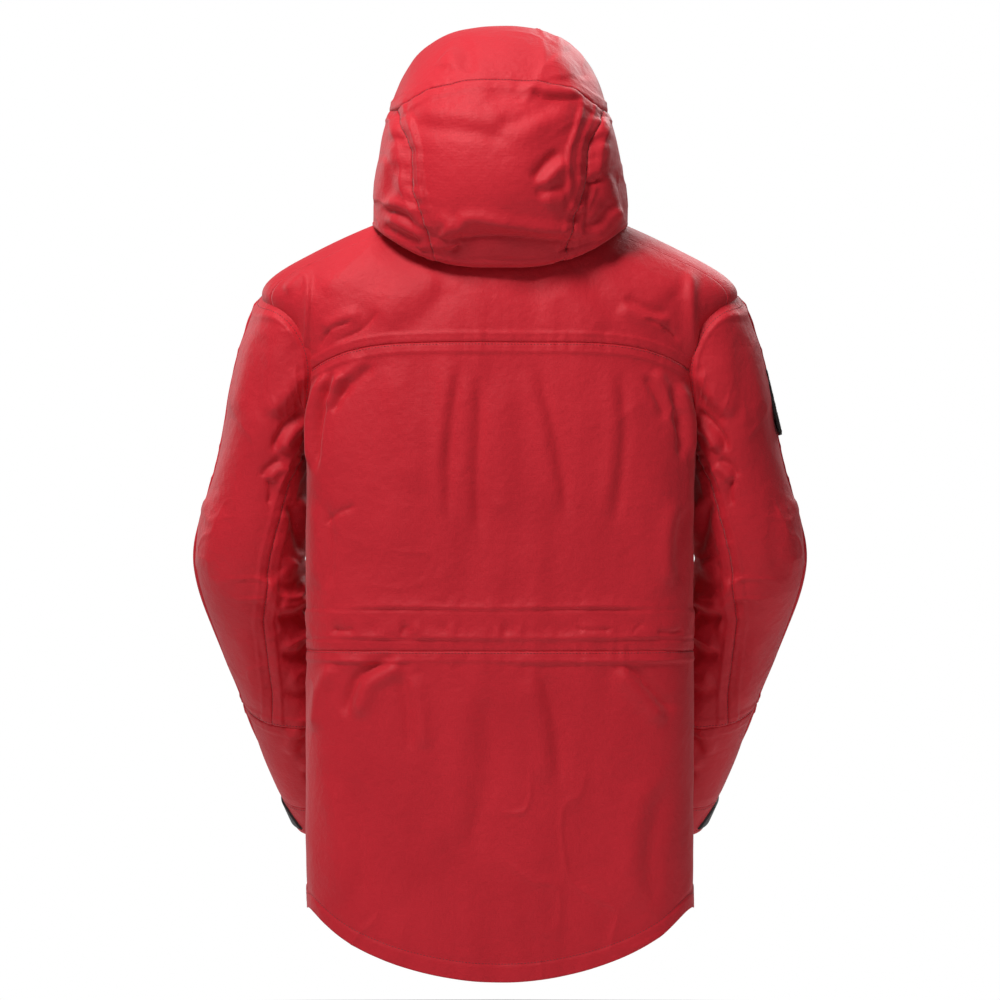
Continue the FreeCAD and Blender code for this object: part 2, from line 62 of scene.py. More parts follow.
# height, half width, centre-back y, roundness, narrowing towards the front
BODY_LEVELS = np.array([
    (0.078, 0.080, 0.002, 2.1, 0.0),
    (0.045, 0.082, 0.001, 2.1, 0.0),
    (0.024, 0.092, 0.000, 1.9, 0.0),
    (0.005, 0.134, 0.000, 1.7, 0.0),
    (-0.020, 0.190, 0.009, 1.75, 0.0),
    (-0.045, 0.238, 0.020, 1.9, 0.0),
    (-0.071, 0.264, 0.029, 2.1, 0.0),
    (-0.105, 0.247, 0.036, 2.3, 0.05),
    (-0.150, 0.219, 0.040, 2.6, 0.1),
    (-0.200, 0.212, 0.042, 2.9, 0.2),
    (-0.260, HALF_BACK, 0.042, 3.2, 0.3),
    (-0.350, HALF_BACK, 0.042, 3.2, 0.3),
    (-0.480, HALF_BACK, 0.042, 3.2, 0.3),
    (-0.660, HALF_BACK, 0.042, 3.2, 0.3),
    (-0.850, HALF_BACK, 0.042, 3.2, 0.3)])[::-1]

# centre, direction along the arm, half size across, half size front to back
SLEEVE_RINGS = np.array([
    (0.180, -0.084, -0.146, 0.99, 0, -0.14, 0.070, 0.066),
    (0.229, -0.086, -0.148, 0.967, 0, -0.254, 0.086, 0.076),
    (0.2495, -0.092, -0.191, 0.795, 0, -0.607, 0.065, 0.080),
    (0.258, -0.095, -0.238, 0.378, 0, -0.926, 0.053, 0.078),
    (0.268, -0.097, -0.299, 0.159, 0, -0.987, 0.0567, 0.074),
    (0.277, -0.102, -0.362, 0.0, -0.22, -0.975, 0.062, 0.070),
    (0.262, -0.130, -0.430, -0.20, -0.40, -0.89, 0.059, 0.064),
    (0.240, -0.170, -0.515, -0.25, -0.45, -0.86, 0.050, 0.060),
    (0.2155, -0.210, -0.590, -0.28, -0.48, -0.83, 0.0475, 0.054),
    (0.192, -0.248, -0.655, -0.29, -0.48, -0.825, 0.043, 0.049)])

# rear point (y, z), throat point (y, z) and half width of each hood ring, from the lower edge up
HOOD_RINGS = np.array([
    (0.042, -0.040, -0.174, -0.060, 0.137),
    (0.066, 0.005, -0.178, -0.044, 0.141),
    (0.072, 0.060, -0.181, -0.030, 0.141),
    (0.062, 0.115, -0.184, -0.018, 0.137),
    (0.030, 0.168, -0.186, -0.008, 0.131),
    (-0.025, 0.208, -0.187, 0.000, 0.122),
    (-0.085, 0.224, -0.187, 0.006, 0.118),
    (-0.140, 0.214, -0.187, 0.011, 0.115),
    (-0.188, 0.187, -0.186, 0.015, 0.115)])
HOOD_POWER = 2.25
HOOD_FRONT_GAP = 0.014


# ---- numeric helpers ------------------------------------------------------------------------------
def spline(xs, ys, x):
    """Natural cubic spline through the rows of ys at xs, read at x."""
    xs, ys, x = np.asarray(xs, float), np.asarray(ys, float), np.asarray(x, float)
    n = len(xs)
    gap = np.diff(xs)
    system = np.eye(n)
    rhs = np.zeros((n,) + ys.shape[1:])
    for i in range(1, n - 1):
        system[i, i - 1:i + 2] = gap[i - 1], 2 * (gap[i - 1] + gap[i]), gap[i]
        rhs[i] = 6 * ((ys[i + 1] - ys[i]) / gap[i] - (ys[i] - ys[i - 1]) / gap[i - 1])
    bend = np.linalg.solve(system, rhs.reshape(n, -1)).reshape(rhs.shape)
    i = np.clip(np.searchsorted(xs, x) - 1, 0, n - 2)
    shape = x.shape + (1,) * (ys.ndim - 1)
    h = gap[i].reshape(shape)
    a = (xs[i + 1] - x).reshape(shape) / h
    b = 1 - a
    return a * ys[i] + b * ys[i + 1] + ((a ** 3 - a) * bend[i] + (b ** 3 - b) * bend[i + 1]) * h * h / 6


def smooth(x, low, high):
    t = np.clip((x - low) / (high - low), 0, 1)
    return t * t * (3 - 2 * t)


def bell(x, width):
    return np.exp(-(x / width) ** 2)


def noise(u, v, cell_u, cell_v, seed):
    """Smooth noise from -1 to 1 over two coordinates, with its own cell size along each."""
    table = np.random.default_rng(seed).uniform(-1, 1, (97, 97))
    x, y = u / cell_u + 31.7, v / cell_v + 17.3
    xi, yi = np.floor(x).astype(int), np.floor(y).astype(int)
    fx, fy = x - xi, y - yi
    fx = fx ** 3 * (fx * (fx * 6 - 15) + 10)
    fy = fy ** 3 * (fy * (fy * 6 - 15) + 10)

    def corner(i, j):
        return table[(xi + i) % 97, (yi + j) % 97]
    low = corner(0, 0) * (1 - fx) + corner(1, 0) * fx
    high = corner(0, 1) * (1 - fx) + corner(1, 1) * fx
    return low * (1 - fy) + high * fy


def creases(u, v, cell_u, cell_v, seed):
    """Sharp-topped wrinkles from 0 to 1, in patches."""
    warp = noise(u, v, cell_u * 2.3, cell_v * 2.3, seed + 1) * 0.6
    ridge = 1 - np.abs(noise(u + warp * cell_u, v + warp * cell_v, cell_u, cell_v, seed)) * 2.2
    patch = smooth(noise(u, v, cell_u * 3.1, cell_v * 2.6, seed + 2), -0.25, 0.5)
    return np.clip(ridge, 0, 1) ** 2 * patch


def strokes(u, v, folds):
    """Sum of listed folds in a plane. Each is (height, width, kind, [(u, v), ...]), in millimetres."""
    total = np.zeros_like(u)
    for height, width, kind, line in folds:
        height, width = height / 1000, width / 1000
        line = np.array(line, float) / 1000
        if len(line) > 2:
            at = np.linspace(0, 1, len(line))
            line = spline(at, line, np.linspace(0, 1, 3 * len(line)))
        reach = 4 * width
        low, high = line.min(axis=0) - reach, line.max(axis=0) + reach
        near = (u > low[0]) & (u < high[0]) & (v > low[1]) & (v < high[1])
        total[near] += height * stroke(u[near], v[near], line, width, kind)
    return total


def stroke(u, v, line, width, kind):
    """One fold of unit height along a polyline."""
    steps = np.linalg.norm(np.diff(line, axis=0), axis=1)
    start = np.concatenate([[0], np.cumsum(steps)])
    best = np.full(u.shape, 1e9)
    signed = np.zeros_like(u)
    share = np.zeros_like(u)
    for i, step in enumerate(steps):
        d = (line[i + 1] - line[i]) / step
        ru, rv = u - line[i, 0], v - line[i, 1]
        along = np.clip(ru * d[0] + rv * d[1], 0, step)
        off_u, off_v = ru - along * d[0], rv - along * d[1]
        away = np.hypot(off_u, off_v)
        closer = away < best
        best = np.where(closer, away, best)
        side = np.sign(d[0] * off_v - d[1] * off_u)
        signed = np.where(closer, away * side, signed)
        share = np.where(closer, (start[i] + along) / start[-1], share)
    taper = smooth(share, 0, 0.22) * smooth(1 - share, 0, 0.22)
    if kind == "ridge":
        return taper * bell(best, width)
    if kind == "crease":
        return -taper * np.exp(-best / (0.5 * width))
    if kind == "step":
        return taper * np.exp(-np.abs(signed) / width) * smooth(signed, -0.0022, 0.0022)
    return taper * (bell(signed - 0.5 * width, width) - 0.9 * bell(signed + 0.9 * width, 0.7 * width))


def seam_relief(d, s=None, seed=0):
    """Height over a taped seam: a flat raised band with crisp edges, a groove in the middle, puckers."""
    band = 0.0011 * (1 - smooth(np.abs(d), 0.0095, 0.0125))
    groove = -0.0016 * np.exp(-np.abs(d) / 0.0016)
    lip = 0.0007 * bell(np.abs(d) - 0.0108, 0.0022)
    total = band + groove + lip
    if s is not None:
        level = np.zeros_like(s)
        wave = noise(s, level, 0.0065, 1, seed) + 0.6 * noise(s, level, 0.014, 1, seed + 5)
        total = total + 0.0008 * wave * bell(d, 0.011)
    return total


# ---- meshes ---------------------------------------------------------------------------------------
def grid_normals(points):
    along = np.gradient(points, axis=0)
    across = np.gradient(points, axis=1)
    normals = np.cross(across, along)
    return normals / np.maximum(np.linalg.norm(normals, axis=2, keepdims=True), 1e-12)


def outward(points, normals, centre):
    """The normals, turned so that they point away from a centre line of points."""
    return normals if np.mean(np.sum(normals * (points - centre), axis=2)) > 0 else -normals


def mesh_object(name, verts, faces, material, uv=None, flat_from=None):
    """A mesh as an object of the scene. Its faces from number flat_from on are shaded flat."""
    mesh = bpy.data.meshes.new(name)
    verts = np.asarray(verts, np.float32)
    faces = np.asarray(faces, np.int32)
    mesh.vertices.add(len(verts))
    mesh.vertices.foreach_set("co", verts.ravel())
    size = faces.shape[1]
    mesh.loops.add(faces.size)
    mesh.loops.foreach_set("vertex_index", faces.ravel())
    mesh.polygons.add(len(faces))
    mesh.polygons.foreach_set("loop_start", np.arange(0, faces.size, size, dtype=np.int32))
    smooth_count = len(faces) if flat_from is None else flat_from
    mesh.polygons.foreach_set("use_smooth", np.arange(len(faces)) < smooth_count)
    mesh.update(calc_edges=True)
    mesh.validate()
    if uv is not None:
        layer = mesh.uv_layers.new(name="cloth")
        index = np.empty(len(mesh.loops), np.int32)
        mesh.loops.foreach_get("vertex_index", index)
        layer.data.foreach_set("uv", np.asarray(uv, np.float32)[index].ravel())
    mesh.materials.append(material)
    piece = bpy.data.objects.new(name, mesh)
    bpy.context.scene.collection.objects.link(piece)
    return piece


def cloth(name, points, normals, uv, material, keep=None, thickness=CLOTH):
    """A grid of points as cloth with an inner face and closed edges. keep says which cells it covers."""
    rows, cols = points.shape[:2]
    index = np.arange(rows * cols).reshape(rows, cols)
    cells = np.stack([index[:-1, :-1], index[:-1, 1:], index[1:, 1:], index[1:, :-1]], axis=2)
    if keep is None:
        keep = np.ones(cells.shape[:2], bool)
    outer = cells[keep]
    a, b, c = (points.reshape(-1, 3)[outer[:, i]] for i in range(3))
    facing = np.sum(np.cross(b - a, c - b) * normals.reshape(-1, 3)[outer[:, 0]], axis=1).mean()
    if facing < 0:
        outer = outer[:, ::-1]
    total = rows * cols
    edges = np.concatenate([outer[:, [i, (i + 1) % 4]] for i in range(4)])
    code = edges[:, 0].astype(np.int64) * total + edges[:, 1]
    twin = edges[:, 1].astype(np.int64) * total + edges[:, 0]
    rim = edges[~np.isin(code, twin)]
    rim_faces = np.stack([rim[:, 1], rim[:, 0], rim[:, 0] + total, rim[:, 1] + total], axis=1)
    faces = np.concatenate([outer, outer[:, ::-1] + total, rim_faces])
    verts = np.concatenate([points.reshape(-1, 3), (points - normals * thickness).reshape(-1, 3)])
    used = np.unique(faces)
    renumber = np.zeros(len(verts), int)
    renumber[used] = np.arange(len(used))
    coords = np.concatenate([uv.reshape(-1, 2)] * 2)
    return mesh_object(name, verts[used], renumber[faces], material, coords[used], 2 * len(outer))


def mirrored(points):
    return points * np.array([-1.0, 1.0, 1.0])


def grid_uv(points):
    """Lengths along the cloth, so that the weave has its real size everywhere."""
    across = np.linalg.norm(np.diff(points, axis=1), axis=2)
    along = np.linalg.norm(np.diff(points, axis=0), axis=2)
    u = np.concatenate([np.zeros((len(points), 1)), np.cumsum(across, axis=1)], axis=1)
    v = np.concatenate([np.zeros((1, points.shape[1])), np.cumsum(along, axis=0)], axis=0)
    u = np.broadcast_to(u.mean(axis=0), points.shape[:2])
    v = v.mean(axis=1, keepdims=True) * np.ones((1, points.shape[1]))
    return np.stack([u, v], axis=2)


def middle(values):
    """Value at the middle of each cell of a grid."""
    return (values[:-1, :-1] + values[1:, 1:]) / 2


def middle_any(flags):
    """True for the cells of a grid with all their corners flagged."""
    return flags[:-1, :-1] & flags[1:, :-1] & flags[:-1, 1:] & flags[1:, 1:]


def snap(params, cell, field, allowed=None):
    """Move the grid points nearest to where field(params) is zero onto that line, so a seam runs smoothly."""
    side = middle(field(params)) > 0
    rows, cols = params.shape[:2]
    above = np.zeros((rows, cols), bool)
    below = np.zeros((rows, cols), bool)
    for i in (0, 1):
        for j in (0, 1):
            above[i:rows - 1 + i, j:cols - 1 + j] |= side
            below[i:rows - 1 + i, j:cols - 1 + j] |= ~side
    on_line = above & below
    on_line[:, 0] = on_line[:, -1] = False
    if allowed is not None:
        on_line &= allowed
    moved = params.copy()
    for _ in range(3):
        value = field(moved)
        slope_u = field(moved + cell * (0.5, 0)) - field(moved - cell * (0.5, 0))
        slope_v = field(moved + cell * (0, 0.5)) - field(moved - cell * (0, 0.5))
        size = np.maximum(slope_u ** 2 + slope_v ** 2, 1e-12)
        move = np.stack([-value * slope_u / size, -value * slope_v / size], axis=2)
        moved += np.clip(move, -0.7, 0.7) * cell * on_line[..., None]
    return moved, side


def trace(field, shaped, normals, within=None):
    """The line on which field is zero, one point per row, with the surface's normals there."""
    flips = (field[:, :-1] < 0) != (field[:, 1:] < 0)
    if within is not None:
        flips &= within[:, :-1]
    line, ups = [], []
    for i in np.nonzero(flips.any(axis=1))[0]:
        j = int(np.argmax(flips[i]))
        t = field[i, j] / (field[i, j] - field[i, j + 1])
        line.append(shaped[i, j] * (1 - t) + shaped[i, j + 1] * t)
        ups.append(normals[i, j])
    return np.array(line), np.array(ups)


# ---- the body's surface ---------------------------------------------------------------------------
def front_y(z):
    return FRONT_TOP_Y - FRONT_SLOPE * (FRONT_TOP_Z - z)


def body_level(z):
    values = spline(BODY_LEVELS[:, 0], BODY_LEVELS[:, 1:], z)
    width, back, power, narrowing = np.moveaxis(values, -1, 0)
    front = front_y(z)
    return width, (back + front) / 2, (back - front) / 2, power, np.clip(narrowing, 0, 1)


def half_outline(z, samples=361):
    """Right-angle half of the body's section at each z: from the centre front, round x > 0, to the back."""
    width, middle, depth, power, narrowing = (a[:, None] for a in body_level(z))
    s = np.linspace(0, 1, samples)
    to_side = np.sin(np.pi * (2 * s - 0.5)) / 2 - 0.5
    to_back = np.sin(np.pi * (2 * s - 1.5)) / 2 + 0.5
    angle = np.where(s < 0.5, to_side, to_back) * np.pi / 2
    across = np.abs(np.cos(angle)) ** (2 / power)
    along = np.sign(np.sin(angle)) * np.abs(np.sin(angle)) ** (2 / power)
    x = across * (1 - narrowing * (1 - along) / 2)
    widest = x.max(axis=1, keepdims=True)
    return width * x / widest, middle + depth * along, widest[:, 0]


LEVEL_Z = np.arange(-0.848, 0.0775, 0.001)
OUTLINE_X, OUTLINE_Y, WIDEST = half_outline(LEVEL_Z)


def body_tables():
    """Evenly spaced columns of the front and of the back, for every millimetre of height."""
    reach = np.hypot(np.diff(OUTLINE_X, axis=1), np.diff(OUTLINE_Y, axis=1))
    arc = np.concatenate([np.zeros((len(LEVEL_Z), 1)), np.cumsum(reach, axis=1)], axis=1)
    count_front, count_back = 118, 150
    front = np.empty((len(LEVEL_Z), count_front + 1, 2))
    back = np.empty((len(LEVEL_Z), count_back + 1, 2))
    for i in range(len(LEVEL_Z)):
        x, y = OUTLINE_X[i], OUTLINE_Y[i]
        start = np.interp(FRONT_OPENING, x[:120], arc[i, :120])
        side = np.interp(SIDE_SEAM_Y, y, arc[i])
        for table, low, high in ((front, start, side), (back, side, arc[i, -1])):
            at = np.linspace(low, high, table.shape[1])
            table[i, :, 0] = np.interp(at, arc[i], x)
            table[i, :, 1] = np.interp(at, arc[i], y)
    return front, back


FRONT_TABLE, BACK_TABLE = body_tables()


def body_points(table, z):
    """Points of the body's surface at height z(row, column) in each of the table's columns."""
    place = np.clip((z - LEVEL_Z[0]) / 0.001, 0, len(LEVEL_Z) - 1.001)
    low = place.astype(int)
    part = (place - low)[..., None]
    column = np.broadcast_to(np.arange(table.shape[1]), z.shape)
    xy = table[low, column] * (1 - part) + table[low + 1, column] * part
    return np.concatenate([xy, z[..., None]], axis=-1)


def inside_body(points):
    """Under 1 inside the body's surface, over 1 outside it."""
    x, y, z = np.moveaxis(points, -1, 0)
    width, middle, depth, power, narrowing = body_level(np.clip(z, -0.848, 0.077))
    widest = np.interp(z, LEVEL_Z, WIDEST)
    along = (y - middle) / depth
    shrink = np.maximum((1 - narrowing * (1 - np.clip(along, -1, 1)) / 2) / widest, 0.05)
    value = (np.abs(x) / (width * shrink)) ** power + np.abs(along) ** power
    return np.where(z > 0.07, 2.0, value)


NECK_SEAM = np.array([(-0.260, -0.118), (-0.120, 0.002), (-0.100, 0.0165), (-0.080, 0.021), (-0.055, 0.0185),
                      (-0.004, 0.0), (0.060, 0.0)])


def neck_z(y):
    return np.interp(y, NECK_SEAM[:, 0], NECK_SEAM[:, 1])


def collar_top_z(y):
    return np.interp(y, (FRONT_TOP_Y, 0.0), (FRONT_TOP_Z, COLLAR_BACK_Z))


def find_height(table, goal, low, high):
    """For each column, the height at which the surface meets z = goal(y)."""
    low = np.full(table.shape[1], low)
    high = np.full(table.shape[1], high)
    for _ in range(30):
        middle = (low + high) / 2
        y = body_points(table, middle[None, :])[0, :, 1]
        above = middle > goal(y)
        high = np.where(above, middle, high)
        low = np.where(above, low, middle)
    return (low + high) / 2


def body_grid(table, low, high):
    """Grid of points between two heights given for each column, with rows about one step apart."""
    rows = max(4, int(np.max(high - low) / STEP)) + 1
    share = np.linspace(0, 1, rows)[:, None]
    return body_points(table, low + (high - low) * share)


def round_the_back(half):
    """A grid over the whole back from its left half, whose columns run from the side to the middle."""
    return np.concatenate([half, mirrored(half[:, -2::-1])], axis=1)


def body_normals(points):
    centre = points.copy()
    centre[..., 0] *= 0.2
    centre[..., 1] = -0.08
    centre[..., 2] -= 0.03
    return outward(points, grid_normals(points), centre)


# ---- folds of the body ----------------------------------------------------------------------------
# (height, width, kind, points along it as x and z), all in millimetres, as strokes() takes them
BACK_FOLDS = [
    (6, 6, "step", [(214.5, -36), (209, -57), (210.4, -120), (213.4, -162), (214, -200)]),
    (5, 7, "ridge", [(-213.5, -40), (-210, -70), (-211, -120), (-213, -165)]),
    (3.6, 6, "ridge", [(212, -50), (224, -62), (238, -74)]),
    (4, 6, "crease", [(158.4, -106), (183.8, -114.3), (195.8, -128), (199.5, -138.5)]),
    (3, 6, "crease", [(133, -92), (150.5, -114.3), (170.2, -124), (182, -130)]),
    (3.4, 9, "ridge", [(150, -98), (176, -106), (194, -120)]),
    (9, 6, "fold", [(185.9, -158), (198, -191), (205.7, -230), (207.9, -276)]),
    (4.8, 6, "fold", [(168.5, -163), (180, -187), (189, -206)]),
    (3.6, 8, "fold", [(140.8, -147), (168.3, -171), (181.9, -190)]),
    (2.6, 9, "fold", [(48.4, -140), (58.3, -201), (64, -270), (62, -340)]),
    (2, 9, "fold", [(33, -150), (30, -210), (33, -280), (28, -360)]),
    (3, 16, "ridge", [(125, -150), (106, -210), (98, -300)]),
    (2.6, 10, "fold", [(-30, -148), (-44, -200), (-58, -265), (-66, -330)]),
    (2.6, 18, "ridge", [(5, -160), (-4, -240), (-10, -340)]),
    (2.4, 10, "fold", [(-120, -150), (-128, -230), (-115, -340)]),
    (3, 6, "crease", [(192, -330), (180, -318), (156, -308)]),
    (7, 7, "fold", [(-206, -262), (-202, -215), (-190, -172)]),
    (4.4, 8, "fold", [(-190, -215), (-180, -190), (-164, -160)]),
    (4, 6, "crease", [(-156, -104), (-180, -112), (-198, -130)]),
    (3.2, 8, "fold", [(-130, -85), (-160, -100), (-190, -104)]),
    (3.4, 9, "fold", [(200, -300), (194, -350), (198, -405)]),
    (3.6, 10, "fold", [(-200, -300), (-188, -350), (-192, -405)]),
    (3.6, 7, "step", [(-210, -422.5), (-90, -420.5), (20, -422.5), (106, -420.5), (210, -423.5)]),
    (3.4, 6, "step", [(-210, -453.5), (-50, -456), (70, -455), (210, -454.5)]),
    (3.4, 6, "crease", [(185, -444), (172, -445.5), (158, -444.5)]),
    (1.8, 6, "crease", [(109, -451), (106, -445), (101, -439)]),
    (2.6, 7, "crease", [(128, -449), (106, -453), (84, -450)]),
    (3, 5, "crease", [(-80, -442), (-100, -445), (-126, -443)]),
    (1.8, 6, "crease", [(-144, -450), (-148, -444), (-156, -437)]),
    (2.6, 6, "crease", [(-170, -446), (-186, -448), (-200, -445)]),
    (3, 6, "step", [(90, -480), (150, -481.2), (198, -480)]),
    (2.6, 6, "step", [(-205, -480), (-140, -481), (20, -482)]),
    (6.4, 10, "fold", [(161.2, -545), (151, -508), (134.2, -492.8), (105, -479)]),
    (5, 8, "ridge", [(180, -480), (196.9, -512), (203.5, -560)]),
    (3.4, 10, "fold", [(88, -580), (92, -530), (100, -490)]),
    (5, 10, "fold", [(-128, -482), (-150, -505), (-186, -545)]),
    (3.2, 12, "fold", [(-30, -485), (-48, -540), (-56, -620)]),
    (3, 18, "fold", [(40, -500), (30, -580), (50, -700)]),
    (3, 16, "fold", [(-170, -600), (-150, -690), (-160, -760)]),
    (2.8, 16, "fold", [(180, -600), (165, -680), (172, -750)]),
    (3, 18, "ridge", [(128, -25), (168, -50), (200, -75)]),
    (2.8, 18, "ridge", [(-128, -25), (-164, -52), (-196, -80)]),
    (2.6, 20, "fold", [(60, -52), (90, -80), (130, -118)]),
    (2.4, 20, "fold", [(-70, -56), (-94, -85), (-120, -118)]),
]

FRONT_FOLDS = [
    (2.4, 20, "fold", [(150, -160), (130, -200), (100, -240), (70, -262)]),
    (2.8, 18, "fold", [(168, -200), (150, -280), (140, -400)]),
    (2.6, 20, "fold", [(50, -110), (40, -200), (45, -330)]),
    (3, 18, "fold", [(120, -50), (135, -110), (160, -160)]),
    (2.6, 16, "fold", [(20, -80), (50, -60), (90, -20)]),
    (3, 18, "fold", [(150, -480), (110, -560), (100, -680)]),
    (2.6, 20, "fold", [(50, -470), (60, -580), (40, -700)]),
    (2.4, 12, "crease", [(170, -452), (110, -458), (40, -452)]),
    (2.6, 16, "fold", [(160, -420), (130, -450), (120, -500)]),
]


def rear_share(normals):
    return smooth(normals[..., 1], -0.05, 0.45)


def waist_channel(z):
    """Profile of the drawcord channel above the waist seam: a soft raised tube of cloth."""
    inside = smooth(z, -0.4560, -0.4520) * smooth(-z, 0.4215, 0.4260)
    return 0.0014 * inside


def body_relief(points, normals):
    """Height of folds and wrinkles over the body's smooth surface."""
    x, y, z = np.moveaxis(points, -1, 0)
    rear = rear_share(normals)
    around = np.arctan2(x, y + 0.09) * 0.16
    height = rear * strokes(x, z, BACK_FOLDS)
    height += (1 - rear) * strokes(np.abs(x), z, FRONT_FOLDS)
    height += 0.0018 * noise(around, z, 0.052, 0.190, 11) + 0.0012 * noise(around, z, 0.027, 0.110, 12)
    height += 0.0005 * noise(around, z, 0.018, 0.030, 13)
    height += 0.0016 * creases(around, z, 0.034, 0.060, 21)
    height += waist_channel(z)
    gathers = bell(z + 0.444, 0.008) + 0.5 * bell(z + 0.484, 0.008) + 0.4 * bell(z + 0.417, 0.007)
    ripple = noise(around, z, 0.0095, 0.050, 31) + 0.5 * noise(around, z, 0.021, 0.060, 32)
    height += 0.0020 * gathers * ripple
    edge = np.abs(y - SIDE_SEAM_Y)
    pinch = np.exp(-edge / 0.012) * smooth(-z, 0.150, 0.240) * (1 - 0.6 * smooth(-z, 0.50, 0.70))
    height += 0.0036 * pinch
    return height * (1 - 0.6 * smooth(z, -0.030, 0.010))


def yoke_seam_z(x):
    return YOKE_SEAM_Z - YOKE_DROP * np.abs(np.clip(x / HALF_BACK, -1.08, 1.08)) ** 5


def tail_hem_z(x):
    """Hem of the back: a shallow bow that turns up more quickly near the sides."""
    share = np.clip(np.abs(x) / HALF_BACK, 0, 1)
    return TAIL_HEM_Z + (SIDE_HEM_Z - TAIL_HEM_Z) * (0.80 * share ** 2 + 0.20 * share ** 10)


# ---- materials ------------------------------------------------------------------------------------
RIPSTOP_PITCH = 0.0022


def new_material(name, color, roughness, sheen=0.0, sheen_roughness=0.5, metallic=0.0, specular=0.5):
    material = bpy.data.materials.new(name)
    material.use_nodes = True
    shader = material.node_tree.nodes["Principled BSDF"]
    shader.inputs["Base Color"].default_value = (*color, 1)
    shader.inputs["Roughness"].default_value = roughness
    shader.inputs["Metallic"].default_value = metallic
    shader.inputs["Sheen Weight"].default_value = sheen
    shader.inputs["Sheen Roughness"].default_value = sheen_roughness
    shader.inputs["Sheen Tint"].default_value = (1.0, 0.86, 0.86, 1)
    shader.inputs["Specular IOR Level"].default_value = specular
    return material, shader


class Nodes:
    """Short calls for building a node tree."""

    def __init__(self, material):
        self.tree = material.node_tree

    def add(self, kind, **settings):
        node = self.tree.nodes.new(kind)
        for key, value in settings.items():
            setattr(node, key, value)
        return node

    def link(self, source, target):
        self.tree.links.new(source, target)

    def math(self, operation, a, b=None, clamp=False):
        node = self.add("ShaderNodeMath", operation=operation, use_clamp=clamp)
        for socket, value in zip(node.inputs, (a, b)):
            if isinstance(value, (int, float)):
                socket.default_value = value
            elif value is not None:
                self.link(value, socket)
        return node.outputs[0]

    def noise(self, vector, scale, detail=2.0, roughness=0.5):
        node = self.add("ShaderNodeTexNoise")
        node.inputs["Scale"].default_value = scale
        node.inputs["Detail"].default_value = detail
        node.inputs["Roughness"].default_value = roughness
        if vector is not None:
            self.link(vector, node.inputs["Vector"])
        return node.outputs["Fac"]

    def ramp(self, fac, stops):
        node = self.add("ShaderNodeValToRGB")
        elements = node.color_ramp.elements
        while len(elements) < len(stops):
            elements.new(0.5)
        for element, (position, color) in zip(elements, stops):
            element.position = position
            element.color = (*color, 1)
        self.link(fac, node.inputs["Fac"])
        return node.outputs["Color"]

    def bump(self, height, distance, strength=1.0, normal=None):
        node = self.add("ShaderNodeBump")
        node.inputs["Distance"].default_value = distance
        node.inputs["Strength"].default_value = strength
        self.link(height, node.inputs["Height"])
        if normal is not None:
            self.link(normal, node.inputs["Normal"])
        return node.outputs["Normal"]


def fabric(name, dark, light, weave=0.0010, roughness=0.58, sheen=0.12):
    """Plain-woven shell cloth: fine weave, a faint ripstop grid, soft crinkle and uneven colour."""
    material, shader = new_material(name, light, roughness, sheen, 0.45, specular=0.25)
    n = Nodes(material)
    uv = n.add("ShaderNodeUVMap", uv_map="cloth").outputs["UV"]
    split = n.add("ShaderNodeSeparateXYZ")
    n.link(uv, split.inputs[0])
    place = n.add("ShaderNodeTexCoord").outputs["Object"]

    def wave(axis, pitch):
        return n.math("SINE", n.math("MULTIPLY", split.outputs[axis], 2 * math.pi / pitch))
    threads = n.math("MULTIPLY", wave(0, weave), wave(1, weave))
    grid_u = n.math("POWER", n.math("ABSOLUTE", wave(0, RIPSTOP_PITCH * 2)), 12.0)
    grid_v = n.math("POWER", n.math("ABSOLUTE", wave(1, RIPSTOP_PITCH * 2)), 12.0)
    grid = n.math("MAXIMUM", n.math("MULTIPLY", grid_u, 0.5), grid_v)
    crinkle = n.noise(place, 95.0, 4.0, 0.55)
    mottle = n.noise(place, 9.0, 3.0, 0.5)
    fleck = n.noise(place, 700.0, 2.0, 0.6)
    tone = n.math("ADD", n.math("MULTIPLY", mottle, 0.55), n.math("MULTIPLY", fleck, 0.30))
    tone = n.math("ADD", tone, n.math("MULTIPLY", grid, -0.05))
    n.link(n.ramp(tone, [(0.25, dark), (0.62, light)]), shader.inputs["Base Color"])
    normal = n.bump(threads, 0.00006, 0.5)
    normal = n.bump(grid, 0.00006, 0.8, normal)
    normal = n.bump(crinkle, 0.0022, 0.55, normal)
    n.link(normal, shader.inputs["Normal"])
    return material


def moulded(name, color, roughness, grain=0.0002, metallic=0.0):
    """Moulded or painted hardware with a fine grain and slight wear of its colour."""
    material, shader = new_material(name, color, roughness, metallic=metallic)
    n = Nodes(material)
    place = n.add("ShaderNodeTexCoord").outputs["Object"]
    fine = n.noise(place, 900.0, 3.0, 0.6)
    wide = n.noise(place, 60.0, 3.0, 0.5)
    lighter = tuple(min(1.0, c * 1.7 + 0.01) for c in color)
    n.link(n.ramp(wide, [(0.35, color), (0.75, lighter)]), shader.inputs["Base Color"])
    n.link(n.bump(fine, grain, 0.6), shader.inputs["Normal"])
    return material


def pile(name, color):
    """Short looped pile of a hook-and-loop panel."""
    material, shader = new_material(name, color, 0.9, 0.3, 0.6)
    n = Nodes(material)
    place = n.add("ShaderNodeTexCoord").outputs["Object"]
    loops = n.add("ShaderNodeTexVoronoi")
    loops.inputs["Scale"].default_value = 1100.0
    n.link(place, loops.inputs["Vector"])
    lighter = tuple(c * 2.2 + 0.004 for c in color)
    n.link(n.ramp(loops.outputs["Distance"], [(0.1, lighter), (0.7, color)]), shader.inputs["Base Color"])
    n.link(n.bump(loops.outputs["Distance"], 0.0006, 0.9), shader.inputs["Normal"])
    return material


